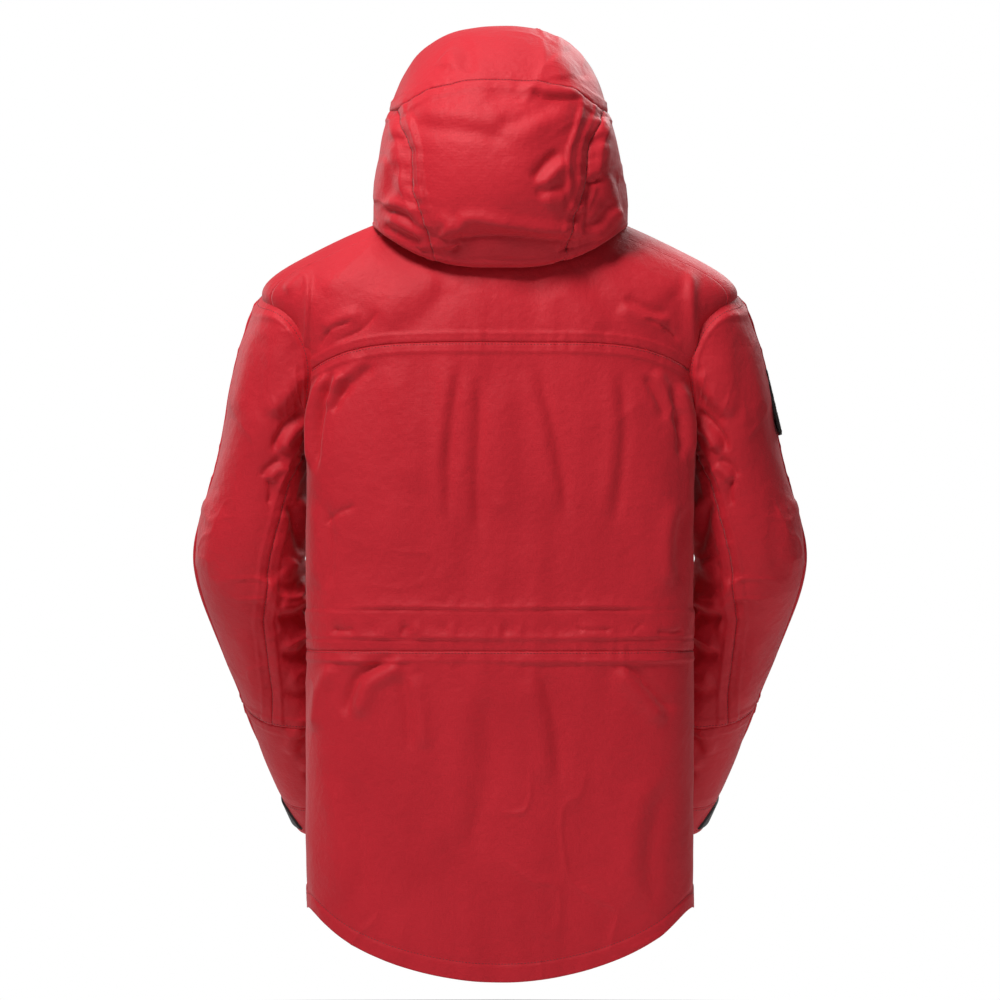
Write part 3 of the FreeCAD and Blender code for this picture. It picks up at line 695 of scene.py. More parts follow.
RED_DARK = (0.500, 0.009, 0.020)
RED_LIGHT = (0.600, 0.015, 0.028)
SHELL = fabric("shell_red", RED_DARK, RED_LIGHT)
LINING = fabric("lining_red", (0.25, 0.012, 0.02), (0.34, 0.018, 0.028), 0.0014, 0.75, 0.1)
THREAD, _ = new_material("thread_red", (0.150, 0.006, 0.012), 0.7, 0.2)
BLACK_TAPE = fabric("zip_tape_black", (0.016, 0.016, 0.018), (0.03, 0.03, 0.032), 0.0012, 0.6, 0.1)
WEBBING = fabric("webbing_black", (0.014, 0.014, 0.016), (0.028, 0.028, 0.030), 0.0016, 0.8, 0.2)
PLASTIC = moulded("plastic_black", (0.022, 0.022, 0.024), 0.42)
METAL = moulded("metal_black", (0.045, 0.045, 0.050), 0.34, 0.00008, metallic=0.8)
RUBBER = moulded("rubber_black", (0.026, 0.025, 0.026), 0.62)
STEEL = moulded("steel", (0.52, 0.52, 0.54), 0.28, 0.00005, metallic=1.0)
PILE = pile("loop_pile", (0.016, 0.013, 0.012))


def place(piece, body, slot_name, nodes=(), bend=False):
    """Attach a piece to the body it moves with, or with bend bake its transform into its mesh instead, and
    hide the CAD nodes it stands for. slot_name is not used.
    """
    if bend:
        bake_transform(piece)
    else:
        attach(piece, body)
    if nodes:
        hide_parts(*nodes)
    return piece


STITCH_LINES = {}


def stitch(group, points, normals, pitch=0.0036):
    """Note a line of stitches: one short raised thread every pitch along the points."""
    points, normals = np.asarray(points), np.asarray(normals)
    arc = np.concatenate([[0], np.cumsum(np.linalg.norm(np.diff(points, axis=0), axis=1))])
    at = np.arange(pitch / 2, arc[-1], pitch)
    centre = np.stack([np.interp(at, arc, points[:, i]) for i in range(3)], axis=1)
    ahead = np.stack([np.interp(at + 0.001, arc, points[:, i]) for i in range(3)], axis=1)
    behind = np.stack([np.interp(at - 0.001, arc, points[:, i]) for i in range(3)], axis=1)
    up = np.stack([np.interp(at, arc, normals[:, i]) for i in range(3)], axis=1)
    STITCH_LINES.setdefault(group, []).append((centre, ahead - behind, up))


def stitch_object(group, material, size=(0.0012, 0.00042, 0.00038)):
    """All noted stitches of one group as one mesh of small capsules with the given half sizes."""
    turns, rings = 6, 5
    polar = np.linspace(0, np.pi, rings)[:, None]
    around = np.linspace(0, 2 * np.pi, turns, endpoint=False)[None, :]
    form = np.stack([np.cos(polar) * np.ones_like(around), np.sin(polar) * np.cos(around),
                     np.sin(polar) * np.sin(around)], axis=2).reshape(-1, 3)
    form = form * size
    cells = []
    for i in range(rings - 1):
        for j in range(turns):
            k = (j + 1) % turns
            cells.append((i * turns + j, i * turns + k, (i + 1) * turns + k, (i + 1) * turns + j))
    cells = np.array(cells)
    verts, faces, count = [], [], 0
    for centre, tangent, up in STITCH_LINES[group]:
        t = tangent / np.maximum(np.linalg.norm(tangent, axis=1, keepdims=True), 1e-9)
        b = np.cross(up, t)
        b /= np.maximum(np.linalg.norm(b, axis=1, keepdims=True), 1e-9)
        n = np.cross(t, b)
        block = (centre[:, None] + form[None, :, :1] * t[:, None] + form[None, :, 1:2] * b[:, None]
                 + (form[None, :, 2:] + 0.00005) * n[:, None])
        verts.append(block.reshape(-1, 3))
        first = count + np.arange(len(centre)) * len(form)
        faces.append((cells[None] + first[:, None, None]).reshape(-1, 4))
        count += len(centre) * len(form)
    return mesh_object(group, np.concatenate(verts), np.concatenate(faces), material)


# ---- body panels ----------------------------------------------------------------------------------
HEM_STITCH = 0.020


def hem_relief(rise):
    """Relief near a folded hem: the fold's thickness and puckers above the stitch line."""
    fold = 0.0010 * (1 - smooth(rise, HEM_STITCH - 0.002, HEM_STITCH + 0.002))
    return fold - 0.0010 * np.exp(-np.abs(rise - HEM_STITCH) / 0.0022)


def armhole_open(points):
    """True well inside the sleeve's tube, where the body has its armhole."""
    x, y, z = np.moveaxis(points, -1, 0)
    folded = np.stack([np.abs(x), y, z], axis=-1)
    best = np.full(x.shape, 9.0)
    value = np.full(x.shape, 9.0)
    for s in np.linspace(0.01, 0.16, 40):
        centre, across, depth, half_across, half_depth = sleeve_frame(np.array(s))
        d = folded - centre
        along = np.abs(d @ np.cross(depth, across))
        reach = (d @ across / half_across) ** 2 + (d @ depth / half_depth) ** 2
        closer = along < best
        best = np.where(closer, along, best)
        value = np.where(closer, reach, value)
    return (value < 0.72) & (best < 0.004) & (np.abs(x) > 0.17)


def finish_panel(name, points, relief, material, slot_name="shell_fabric"):
    normals = body_normals(points)
    shaped = points + normals * relief(points, normals)[..., None]
    keep = ~middle_any(armhole_open(points))
    piece = cloth(name, shaped, body_normals(shaped), grid_uv(points), material, keep)
    place(piece, "torso", slot_name, [name])
    return shaped, body_normals(shaped)


def side_groove(y, z):
    return -0.0010 * np.exp(-np.abs(y - SIDE_SEAM_Y) / 0.0016) * smooth(-z, 0.12, 0.16)


def seams_of_body(points):
    """Relief of the cross seams on the back: yoke, waist and hem."""
    x, y, z = np.moveaxis(points, -1, 0)
    rear = smooth(y, SIDE_SEAM_Y - 0.004, SIDE_SEAM_Y)
    relief = rear * seam_relief(z - yoke_seam_z(x), x, 41)
    relief += rear * 0.8 * seam_relief(z - WAIST_SEAM_Z, x, 42)
    return relief + side_groove(y, z)


def build_back():
    columns = BACK_TABLE.shape[1]
    side_x = body_points(BACK_TABLE, np.full((1, columns), -0.30))[0, :, 0]
    yoke_x = body_points(BACK_TABLE, np.full((1, columns), YOKE_SEAM_Z))[0, :, 0]
    waist = np.full(columns, WAIST_SEAM_Z)
    seam = yoke_seam_z(yoke_x)
    for _ in range(8):
        seam = (seam + yoke_seam_z(body_points(BACK_TABLE, seam[None, :])[0, :, 0])) / 2
    neck = find_height(BACK_TABLE, neck_z, -0.1, 0.06)
    hem = tail_hem_z(side_x)

    def relief(points, normals):
        rise = points[..., 2] - tail_hem_z(points[..., 0])
        return body_relief(points, normals) + seams_of_body(points) + hem_relief(rise)
    spans = (("lower_back_panel", hem, waist), ("back_panel", waist, seam), ("back_yoke", seam, neck))
    for name, low, high in spans:
        grid = round_the_back(body_grid(BACK_TABLE, low, high))
        shaped, normals = finish_panel(name, grid, relief, SHELL)
        if name == "lower_back_panel":
            row = int(round(HEM_STITCH / STEP))
            stitch("torso_stitches", shaped[row], normals[row])
            stitch("torso_stitches", shaped[-2], normals[-2])
        elif name == "back_panel":
            stitch("torso_stitches", shaped[-2], normals[-2])


def build_fronts():
    columns = FRONT_TABLE.shape[1]
    waist = np.full(columns, WAIST_SEAM_Z)
    hem = np.full(columns, FRONT_HEM_Z)
    neck = find_height(FRONT_TABLE, neck_z, -0.2, 0.06)

    def relief(points, normals):
        x, z = points[..., 0], points[..., 2]
        pocket_height = smooth(z, -0.480, -0.455) * smooth(-z, 0.240, 0.270)
        beside_pocket = bell(np.abs(x) - POCKET_X, 0.016) * pocket_height
        near_zip = smooth(np.abs(x), 0.008, 0.034) * (1 - np.minimum(1.2 * beside_pocket, 1.0))
        rise = z - FRONT_HEM_Z
        total = body_relief(points, normals) * near_zip + seams_of_body(points) + hem_relief(rise)
        return total - 0.0008 * np.exp(-np.abs(np.abs(x) - 0.014) / 0.0016)
    for name, low, high in (("front_skirt", hem, waist), ("front", waist, neck)):
        half = body_grid(FRONT_TABLE, low, high)
        for side, grid in (("left", half), ("right", mirrored(half))):
            shaped, normals = finish_panel(f"{side}_{name}", grid, relief, SHELL)
            column = int(np.argmin(np.abs(np.abs(grid[5, :, 0]) - 0.0115)))
            stitch("torso_stitches", shaped[:, column], normals[:, column])
            if name == "front_skirt":
                row = int(round(HEM_STITCH / STEP))
                stitch("torso_stitches", shaped[row], normals[row])


def build_collar():
    """Stand collar in one piece round the neck, open at the zip, with its stitched top edge."""
    halves = []
    for table in (FRONT_TABLE, BACK_TABLE):
        low = find_height(table, neck_z, -0.2, 0.06)
        high = find_height(table, collar_top_z, -0.02, 0.077)
        rows = 36
        share = np.linspace(0, 1, rows)[:, None]
        halves.append(body_points(table, low + (high - low) * share))
    left = np.concatenate([halves[0][:, :-1], halves[1]], axis=1)
    points = np.concatenate([left, mirrored(left[:, -2::-1])], axis=1)
    normals = body_normals(points)
    x, y, z = np.moveaxis(points, -1, 0)
    top = collar_top_z(y) - z
    around = np.arctan2(x, y + 0.08) * 0.08
    away = smooth(np.abs(x), 0.008, 0.03)
    relief = away * (0.0010 * noise(around, z, 0.024, 0.05, 51) + 0.0008 * noise(around, z, 0.012, 0.03, 52))
    relief = relief - 0.0008 * np.exp(-np.abs(top - 0.006) / 0.0015)
    shaped = points + normals * relief[..., None]
    normals = body_normals(shaped)
    piece = cloth("collar", shaped, normals, grid_uv(points), SHELL, thickness=0.0022)
    place(piece, "torso", "shell_fabric", ["collar"])
    stitch("torso_stitches", shaped[-4], normals[-4])


# ---- sleeves --------------------------------------------------------------------------------------
RING_AT = np.concatenate([[0], np.cumsum(np.linalg.norm(np.diff(SLEEVE_RINGS[:, :3], axis=0), axis=1))])
ARM_LENGTH = RING_AT[-1]
ELBOW_SEAM_AT = ARM_LENGTH - 0.150
CUFF_AT = ARM_LENGTH - 0.042
SLEEVE_SEAM = np.array([(0.254, -0.900), (0.254, -0.520), (0.262, -0.437), (0.253, -0.362), (0.233, -0.282),
                        (0.206, -0.232), (0.150, -0.100)])

# folds of the left sleeve seen from behind, written as those of the body
SLEEVE_BACK_FOLDS = [
    (7, 6, "fold", [(244, -252), (240, -236), (227, -219.6), (211, -206)]),
    (5, 5, "step", [(212, -222), (225.7, -246.3), (235.5, -266), (246, -300)]),
    (4, 6, "fold", [(258, -281), (251, -270), (238, -261)]),
    (4.4, 5, "crease", [(256.5, -276), (253, -293.7), (257, -310)]),
    (6, 8, "fold", [(210, -366), (215.8, -340), (227, -296)]),
    (4, 10, "fold", [(212, -160), (232, -190), (256, -215)]),
    (3, 12, "ridge", [(250, -85), (238, -110), (220, -135)]),
    (2.6, 16, "fold", [(278, -110), (282, -160), (286, -215)]),
    (4, 10, "fold", [(218, -372), (234, -388), (248, -386)]),
    (4.4, 9, "fold", [(212, -410), (228, -424), (248, -420)]),
    (4, 9, "fold", [(208, -446), (226, -466), (244, -464)]),
    (3.6, 10, "fold", [(206, -486), (220, -506), (240, -506)]),
    (2.8, 12, "fold", [(284, -440), (272, -490), (265, -540)]),
    (2.4, 14, "fold", [(318, -290), (316, -340), (322, -390)]),
    (3.6, 9, "fold", [(196, -536), (216, -552), (236, -590)]),
    (3.4, 9, "fold", [(186, -570), (204, -592), (226, -606)]),
    (3, 8, "fold", [(176, -600), (192, -618), (212, -626)]),
]
# folds of the left sleeve seen from the front: the elbow bends forwards, so they lie across
SLEEVE_FRONT_FOLDS = [
    (4.2, 12, "fold", [(215, -345), (262, -352), (318, -338)]),
    (4.6, 12, "fold", [(212, -385), (258, -392), (316, -384)]),
    (4, 11, "fold", [(206, -424), (246, -424), (300, -430)]),
    (3.2, 12, "fold", [(210, -300), (250, -318), (300, -300)]),
    (3.4, 13, "fold", [(212, -230), (246, -262), (292, -280)]),
    (3.4, 14, "fold", [(222, -170), (256, -200), (292, -205)]),
    (3, 12, "fold", [(200, -480), (232, -500), (262, -540)]),
    (2.8, 10, "fold", [(186, -560), (214, -570), (246, -592)]),
]


def sleeve_frame(s):
    """Centre, two directions across and two half sizes at a length s down the arm."""
    values = spline(RING_AT, SLEEVE_RINGS, s)
    centre, along = values[..., :3], values[..., 3:6]
    along = along / np.linalg.norm(along, axis=-1, keepdims=True)
    across = np.cross(along, (0, 1, 0))
    across /= np.linalg.norm(across, axis=-1, keepdims=True)
    depth = np.cross(across, along)
    return centre, across, depth, values[..., 6:7], values[..., 7:8]


def sleeve_points(angle, s):
    centre, across, depth, half_across, half_depth = sleeve_frame(s)
    return (centre + across * half_across * np.cos(angle)[..., None]
            + depth * half_depth * np.sin(angle)[..., None])


def armhole(angle):
    """Length down the arm at which each column of the sleeve comes out of the body."""
    s = np.linspace(0, 0.30, 601)[:, None] * np.ones((1, len(angle)))
    out = inside_body(sleeve_points(np.broadcast_to(angle, s.shape), s)) > 1.0
    last_in = len(s) - 1 - np.argmax(~out[::-1], axis=0)
    start = np.where(out.all(axis=0), 0, s[np.minimum(last_in + 1, len(s) - 1), 0])
    kernel = np.array([0.25, 0.5, 0.25])
    for _ in range(6):
        start = np.convolve(np.concatenate([start[-2:-1], start, start[1:2]]), kernel, "valid")
    return start


def sleeve_relief(points, angle, s, start):
    """Folds, seams and wrinkles of the left sleeve."""
    x, z = points[..., 0], points[..., 2]
    rear = smooth(np.sin(angle), -0.15, 0.25)
    height = rear * strokes(x, z, SLEEVE_BACK_FOLDS) + (1 - rear) * strokes(x, z, SLEEVE_FRONT_FOLDS)
    round_arm = angle * 0.065
    inner = smooth(-np.cos(angle), -0.5, 0.6)
    bend = bell(s - 0.33, 0.10)
    height += 0.0017 * noise(round_arm, s, 0.055, 0.080, 61) + 0.0009 * noise(round_arm, s, 0.028, 0.040, 62)
    height += (0.0012 + 0.0026 * inner * bend) * creases(round_arm, s, 0.034, 0.019, 63)
    height += 0.0022 * inner * bend * noise(round_arm, s, 0.060, 0.0135, 64)
    seam_x = np.interp(z, SLEEVE_SEAM[:, 1], SLEEVE_SEAM[:, 0])
    cross = cross_seam_at(angle)
    above = 1 - smooth(s, cross - 0.004, cross + 0.004)
    height += above * smooth(s - start, 0.01, 0.03) * seam_relief(x - seam_x, s, 65)
    height += 0.7 * seam_relief(s - cross, round_arm, 66)
    height += seam_relief(s - start, round_arm, 67) * 1.2
    height -= 0.0010 * np.exp(-np.abs(s - CUFF_AT) / 0.0016)
    firm = smooth(s, CUFF_AT - 0.014, CUFF_AT + 0.004)
    height = height * (1 - 0.85 * firm)
    return height * smooth(s - start, -0.002, 0.012) + 0.0006 * (1 - firm)


def cross_seam_at(angle):
    return ELBOW_SEAM_AT - 0.014 * np.cos(angle)


def build_sleeves():
    count = 206
    angle = np.linspace(0, 2 * np.pi, count + 1)
    start = armhole(angle)
    rows = int((ARM_LENGTH - start.min()) / STEP) + 1
    share = np.linspace(0, 1, rows)[:, None]
    s = (start - 0.003) + (ARM_LENGTH - start + 0.003) * share
    params = np.stack([np.broadcast_to(angle, s.shape), s], axis=2)
    cell = np.array([angle[1], STEP])

    def seam_field(at):
        points = sleeve_points(at[..., 0], at[..., 1])
        return points[..., 0] - np.interp(points[..., 2], SLEEVE_SEAM[:, 1], SLEEVE_SEAM[:, 0])

    def cross_field(at):
        return at[..., 1] - cross_seam_at(at[..., 0])

    def cuff_field(at):
        return at[..., 1] - CUFF_AT
    params, outer = snap(params, cell, seam_field)
    params, lower = snap(params, cell, cross_field)
    params, cuff = snap(params, cell, cuff_field)
    params[:, 0, 1] = params[:, -1, 1]
    angles, s = params[..., 0], params[..., 1]
    base = sleeve_points(angles, s)
    centre = sleeve_frame(s)[0]
    normals = outward(base, grid_normals(base), centre)
    shaped = base + normals * sleeve_relief(base, angles, s, start)[..., None]
    shaped[:, -1] = shaped[:, 0]
    normals = outward(shaped, grid_normals(shaped), centre)
    normals[:, 0] = normals[:, -1] = (normals[:, 0] + normals[:, -1]) / 2
    uv = np.stack([angles * 0.062, s], axis=2)
    masks = {"sleeve_outer": outer & ~lower, "sleeve_under": ~outer & ~lower, "sleeve_lower": lower & ~cuff,
             "cuff": cuff}
    seam = seam_field(params)
    above = s < cross_seam_at(angles)
    rear = np.sin(angles) > 0
    seams = [trace(seam, shaped, normals, above & rear), trace(seam, shaped, normals, above & ~rear),
             trace((cross_field(params) + 0.003).T, *turned(shaped, normals)),
             trace((cuff_field(params) - 0.004).T, *turned(shaped, normals)),
             trace((s - ARM_LENGTH + 0.005).T, *turned(shaped, normals)),
             (shaped[4], normals[4])]
    for side, flip in (("left", 1.0), ("right", -1.0)):
        turn = np.array([flip, 1.0, 1.0])
        body = f"{side}_sleeve"
        for name, keep in masks.items():
            piece = cloth(f"{side}_{name}", shaped * turn, normals * turn, uv, SHELL, keep)
            place(piece, body, "shell_fabric", [f"{side}_{name}"], bend=name != "cuff")
        inner = (shaped - normals * 0.0024) * turn
        piece = cloth(f"{side}_cuff_facing", inner, normals * turn, uv, LINING, cuff)
        place(piece, body, "lining_fabric", [f"{side}_cuff_facing"])
        group = f"{side}_sleeve_stitches"
        for line, ups in seams:
            stitch(group, line * turn, ups * turn)
        place(stitch_object(group, THREAD), body, "shell_fabric", bend=True)


def turned(points, normals):
    """The same grid with rows and columns exchanged."""
    return points.transpose(1, 0, 2), normals.transpose(1, 0, 2)


# ---- hood -----------------------------------------------------------------------------------------
CROWN_SEAM = np.array([(0.0, 0.158), (0.040, 0.1555), (0.080, 0.146), (0.114, 0.127), (0.30, 0.122)])
SIDE_SEAM = np.array([(-0.080, 0.070), (-0.034, 0.073), (0.010, 0.085), (0.037, 0.096), (0.079, 0.098),
                      (0.100, 0.104), (0.124, 0.114), (0.200, 0.122)])

HOOD_FOLDS = [
    (6, 5, "crease", [(-30, 148), (-44, 139.5), (-60, 136.5), (-90, 135)]),
    (4.4, 8, "ridge", [(-20, 150), (-46, 145), (-70, 142), (-94, 140)]),
    (5, 6, "step", [(-74.8, 20), (-71.5, 70), (-80, 100), (-89, 140)]),
    (7, 9, "ridge", [(-106, 128), (-113, 100), (-112, 70), (-100, 46)]),
    (6, 5, "crease", [(-96, 50), (-104, 44), (-112, 52)]),
    (4.4, 6, "crease", [(-98, 46), (-96, 10), (-91.5, -12)]),
    (5, 6, "step", [(98, 132), (93.2, 108), (87.2, 80), (85.3, 49), (75.5, 4)]),
    (4.4, 7, "ridge", [(116, 124), (113, 104), (113, 80), (107, 39), (100, 22)]),
    (2.4, 12, "fold", [(-20, 98), (36, 110), (71.5, 114), (98, 122)]),
    (2.4, 12, "fold", [(10, 94), (-32, 104), (-80, 130)]),
    (2.2, 14, "fold", [(20, 128), (-20, 124), (-60, 116)]),
    (5.6, 9, "fold", [(-40, 38), (-58, 60.5), (-73, 70)]),
    (3, 9, "fold", [(-44, 20), (-56, 30), (-74, 30)]),
    (5.6, 8, "ridge", [(90, 8), (59.7, 1), (44, -4), (32, 5), (-13, -2), (-66, -8), (-100, -4)]),
    (5, 10, "crease", [(86, -10), (50, -18), (0, -14), (-60, -20), (-100, -18)]),
    (6, 10, "ridge", [(64, -6), (54, -16), (50, -28)]),
    (5, 5, "crease", [(43, -10), (46, -26), (56, -32)]),
    (5, 7, "fold", [(71.5, -6), (89.2, 3.5), (105, 15.4), (132, 24)]),
    (4, 7, "fold", [(80, -18), (104, -6), (128, 6)]),
    (4, 8, "fold", [(-96, -16), (-116, 0), (-132, 24)]),
    (3.4, 10, "fold", [(-118, 60), (-128, 30), (-132, 0)]),
    (3, 10, "fold", [(118, 75), (128, 45), (132, 20)]),
    (3, 14, "fold", [(58, 196), (48, 184), (50, 166)]),
    (2.6, 16, "fold", [(-60, 190), (-74, 172), (-78, 156)]),
]


def hem_arc_z(x):
    """Lower edge of the hood behind the neck: lowest in the middle, up to the shoulders at its sides."""
    return -0.041 + 0.043 * np.abs(x / 0.141) ** 2.8


def hood_rings(at):
    index = np.arange(len(HOOD_RINGS))
    return spline(index, HOOD_RINGS, at)


def hood_outline(at, samples=361):
    """Half rings of the hood at each index: from the throat, round x > 0, to the rear."""
    ring = hood_rings(at)
    rear, throat, width = ring[:, 0:2], ring[:, 2:4], ring[:, 4:5]
    angle = (np.linspace(0, 1, samples) * 2 - 1) * np.pi / 2
    across = np.abs(np.cos(angle)) ** (2 / HOOD_POWER)
    along = np.sign(np.sin(angle)) * np.abs(np.sin(angle)) ** (2 / HOOD_POWER)
    centre = (rear + throat) / 2
    half = (rear - throat) / 2
    x = width * across[None, :]
    yz = centre[:, None] + half[:, None] * along[None, :, None]
    return np.concatenate([x[..., None], yz], axis=2)


HOOD_FINE = np.linspace(0, len(HOOD_RINGS) - 1, 321)
HOOD_COLUMNS = 160
HOOD_ROWS = 200
FACE_HEM_ROWS = 9           # rows of cells in the stitched hem round the face
HOOD_CENTRE = np.array([0, -0.075, 0.05])


def hood_table():
    outline = hood_outline(HOOD_FINE)
    table = np.empty((len(HOOD_FINE), HOOD_COLUMNS + 1, 3))
    for i, ring in enumerate(outline):
        arc = np.concatenate([[0], np.cumsum(np.linalg.norm(np.diff(ring, axis=0), axis=1))])
        start = np.interp(HOOD_FRONT_GAP, ring[:120, 0], arc[:120])
        at = np.linspace(start, arc[-1], HOOD_COLUMNS + 1)
        table[i] = np.stack([np.interp(at, arc, ring[:, k]) for k in range(3)], axis=1)
    return table


def table_points(table, at):
    """Points of a table of surface points at fractional column at[..., 0] and row at[..., 1]."""
    column = np.clip(at[..., 0], 0, table.shape[1] - 1.001)
    row = np.clip(at[..., 1], 0, table.shape[0] - 1.001)
    j, i = column.astype(int), row.astype(int)
    fj, fi = (column - j)[..., None], (row - i)[..., None]
    low = table[i, j] * (1 - fj) + table[i, j + 1] * fj
    high = table[i + 1, j] * (1 - fj) + table[i + 1, j + 1] * fj
    return low * (1 - fi) + high * fi


def crown_field(points):
    return points[..., 2] - np.interp(np.abs(points[..., 0]), CROWN_SEAM[:, 0], CROWN_SEAM[:, 1])


def centre_field(points):
    """Positive on the hood's centre back panel, negative on its sides."""
    x, y, z = np.moveaxis(points, -1, 0)
    return np.where(y > -0.040, np.interp(z, SIDE_SEAM[:, 0], SIDE_SEAM[:, 1]) - np.abs(x), -0.05)


def hood_relief(points, normals):
    x, y, z = np.moveaxis(points, -1, 0)
    rear = smooth(normals[..., 1], -0.10, 0.30)
    up = smooth(normals[..., 2], 0.3, 0.8)
    flow = grid_uv(points)
    around, along = flow[..., 0], flow[..., 1]
    crown = crown_field(points)
    below_crown = 1 - smooth(crown, -0.004, 0.004)
    on_rear = smooth(y, -0.060, -0.030)
    from_side = -centre_field(points)
    relief = rear * strokes(x, z, HOOD_FOLDS)
    relief += 0.0020 * noise(around, along, 0.050, 0.060, 71)
    relief += 0.0010 * noise(around, along, 0.026, 0.030, 72)
    relief += 0.0014 * creases(around, along, 0.034, 0.026, 73)
    relief += below_crown * on_rear * seam_relief(from_side, z, 74) * 1.3
    relief += seam_relief(crown, x, 75) * (1 - 0.9 * up)
    gather = below_crown * on_rear * bell(from_side - 0.001, 0.014)
    relief += 0.0026 * gather * (noise(around, along, 0.05, 0.0075, 76)
                                 + 0.6 * noise(around, along, 0.05, 0.014, 77))
    relief -= 0.0034 * below_crown * on_rear * bell(from_side, 0.012)
    relief += 0.0040 * below_crown * on_rear * bell(x, 0.060) * bell(z - 0.045, 0.050)
    return relief


def rolled_under(edge, normals):
    """Rows of points that roll the hood's lower edge inwards and down, from the hidden end to the edge."""
    inward = -normals * (1, 1, 0)
    drop = np.array([0, 0, 0.008])
    bends = np.arange(1, 12) / 11 * np.pi * 0.75
    roll = [edge + inward * 0.013 * (1 - np.cos(bend)) - drop * np.sin(bend) for bend in bends]
    return np.array(roll)[::-1]


def repeat_first(values, count):
    """The grid with its first row repeated in front of it."""
    return np.concatenate([np.repeat(values[:1], count, axis=0), values])


def build_hood():
    table = hood_table()
    last_row = len(HOOD_FINE) - 1
    x, y, z = np.moveaxis(table, -1, 0)
    out = (inside_body(table) > 1.02) & ((y < -0.075) | (z > hem_arc_z(x)))
    last_in = last_row - np.argmax(~out[::-1], axis=0)
    begin = np.where(out.all(axis=0), 0, np.minimum(last_in + 1, last_row)).astype(float)
    padded = np.concatenate([[begin[0]] * 5, begin, begin[-2:-7:-1]])
    begin = np.convolve(padded, np.ones(11) / 11, "valid")
    spacing = (last_row - begin) / (HOOD_ROWS - 1)
    ring_at = begin + spacing * np.arange(HOOD_ROWS)[:, None]
    column = np.broadcast_to(np.arange(HOOD_COLUMNS + 1.0), ring_at.shape)
    params = np.stack([column, ring_at], axis=2)
    cell = np.stack([np.ones(HOOD_COLUMNS + 1), spacing], axis=1)[None]
    params, crown = snap(params, cell, lambda at: crown_field(table_points(table, at)))
    below_seam = crown_field(table_points(table, params)) < -0.0005
    params, centre_part = snap(params, cell, lambda at: centre_field(table_points(table, at)), below_seam)
    half = table_points(table, params)
    points = np.concatenate([half, mirrored(half[:, -2::-1])], axis=1)
    centre_part = np.concatenate([centre_part, centre_part[:, ::-1]], axis=1)
    crown = np.concatenate([crown, crown[:, ::-1]], axis=1)
    normals = outward(points, grid_normals(points), HOOD_CENTRE)
    relief = hood_relief(points, normals)
    relief[0:2] *= 0.3
    shaped = points + normals * relief[..., None]
    normals = outward(shaped, grid_normals(shaped), HOOD_CENTRE)
    roll = rolled_under(shaped[0], normals[0])
    extra = len(roll)
    shaped = np.concatenate([roll, shaped])
    normals = outward(shaped, grid_normals(shaped), HOOD_CENTRE)
    uv = grid_uv(shaped)
    crown = repeat_first(crown, extra)
    centre_part = repeat_first(centre_part, extra)
    base = repeat_first(points, extra)
    x, y, z = (middle(base[..., k]) for k in range(3))
    cells = np.arange(len(shaped) - 1)[:, None] * np.ones((1, shaped.shape[1] - 1))
    face = (cells >= len(shaped) - 1 - FACE_HEM_ROWS) & (z > 0.022)
    masks = {
        "hood_face_hem": face, "hood_crown_panel": crown & ~face,
        "hood_centre_panel": centre_part & ~crown & ~face,
        "left_hood_side": ~centre_part & ~crown & ~face & (x > 0),
        "right_hood_side": ~centre_part & ~crown & ~face & (x < 0)}
    for name, keep in masks.items():
        piece = cloth(name, shaped, normals, uv, SHELL, keep, thickness=0.0014)
        slot_name = "lining_fabric" if name == "hood_face_hem" else "shell_fabric"
        place(piece, "hood", slot_name, [name], bend=True)
    brim = (np.abs(x) < 0.096) & (y > -0.178) & (y < -0.128) & (z > 0.150)
    piece = cloth("hood_visor_stiffener", shaped - normals * 0.0020, normals, uv, PLASTIC, brim, 0.0010)
    place(piece, "hood", "stiffener", ["hood_visor_stiffener"], bend=True)
    group = "hood_stitches"
    stitch(group, shaped[-FACE_HEM_ROWS], normals[-FACE_HEM_ROWS])
    seam_side = centre_field(base)
    below = crown_field(base) < 0
    below[:extra] = False
    for sign in (1, -1):
        stitch(group, *trace(seam_side, shaped, normals, below & (base[..., 0] * sign > 0)))
    stitch(group, *trace(crown_field(base).T, *turned(shaped, normals)))
    place(stitch_object(group, THREAD), "hood", "shell_fabric", bend=True)


# ---- trims and inner pieces -----------------------------------------------------------------------
def front_patch(name, x_range, z_range, inset, thickness, material, slot_name, relief):
    """A strip that follows the front between two values of x and two heights, inset from its surface."""
    x = np.linspace(*x_range, max(4, int((x_range[1] - x_range[0]) / 0.002) + 1))
    z = np.linspace(*z_range, int((z_range[1] - z_range[0]) / 0.002) + 1)
    level = np.clip(np.rint((z - LEVEL_Z[0]) / 0.001).astype(int), 0, len(LEVEL_Z) - 1)
    y = np.array([np.interp(np.abs(x), OUTLINE_X[k, :120], OUTLINE_Y[k, :120]) for k in level])
    points = np.stack([x + 0 * y, y, z[:, None] + 0 * y], axis=2)
    normals = grid_normals(points)
    normals = normals if normals[..., 1].mean() < 0 else -normals
    shaped = points + normals * (relief(points[..., 0], points[..., 2])[..., None] - inset)
    piece = cloth(name, shaped, normals, grid_uv(points), material, thickness=thickness)
    place(piece, "torso", slot_name, [name])
    return shaped, normals


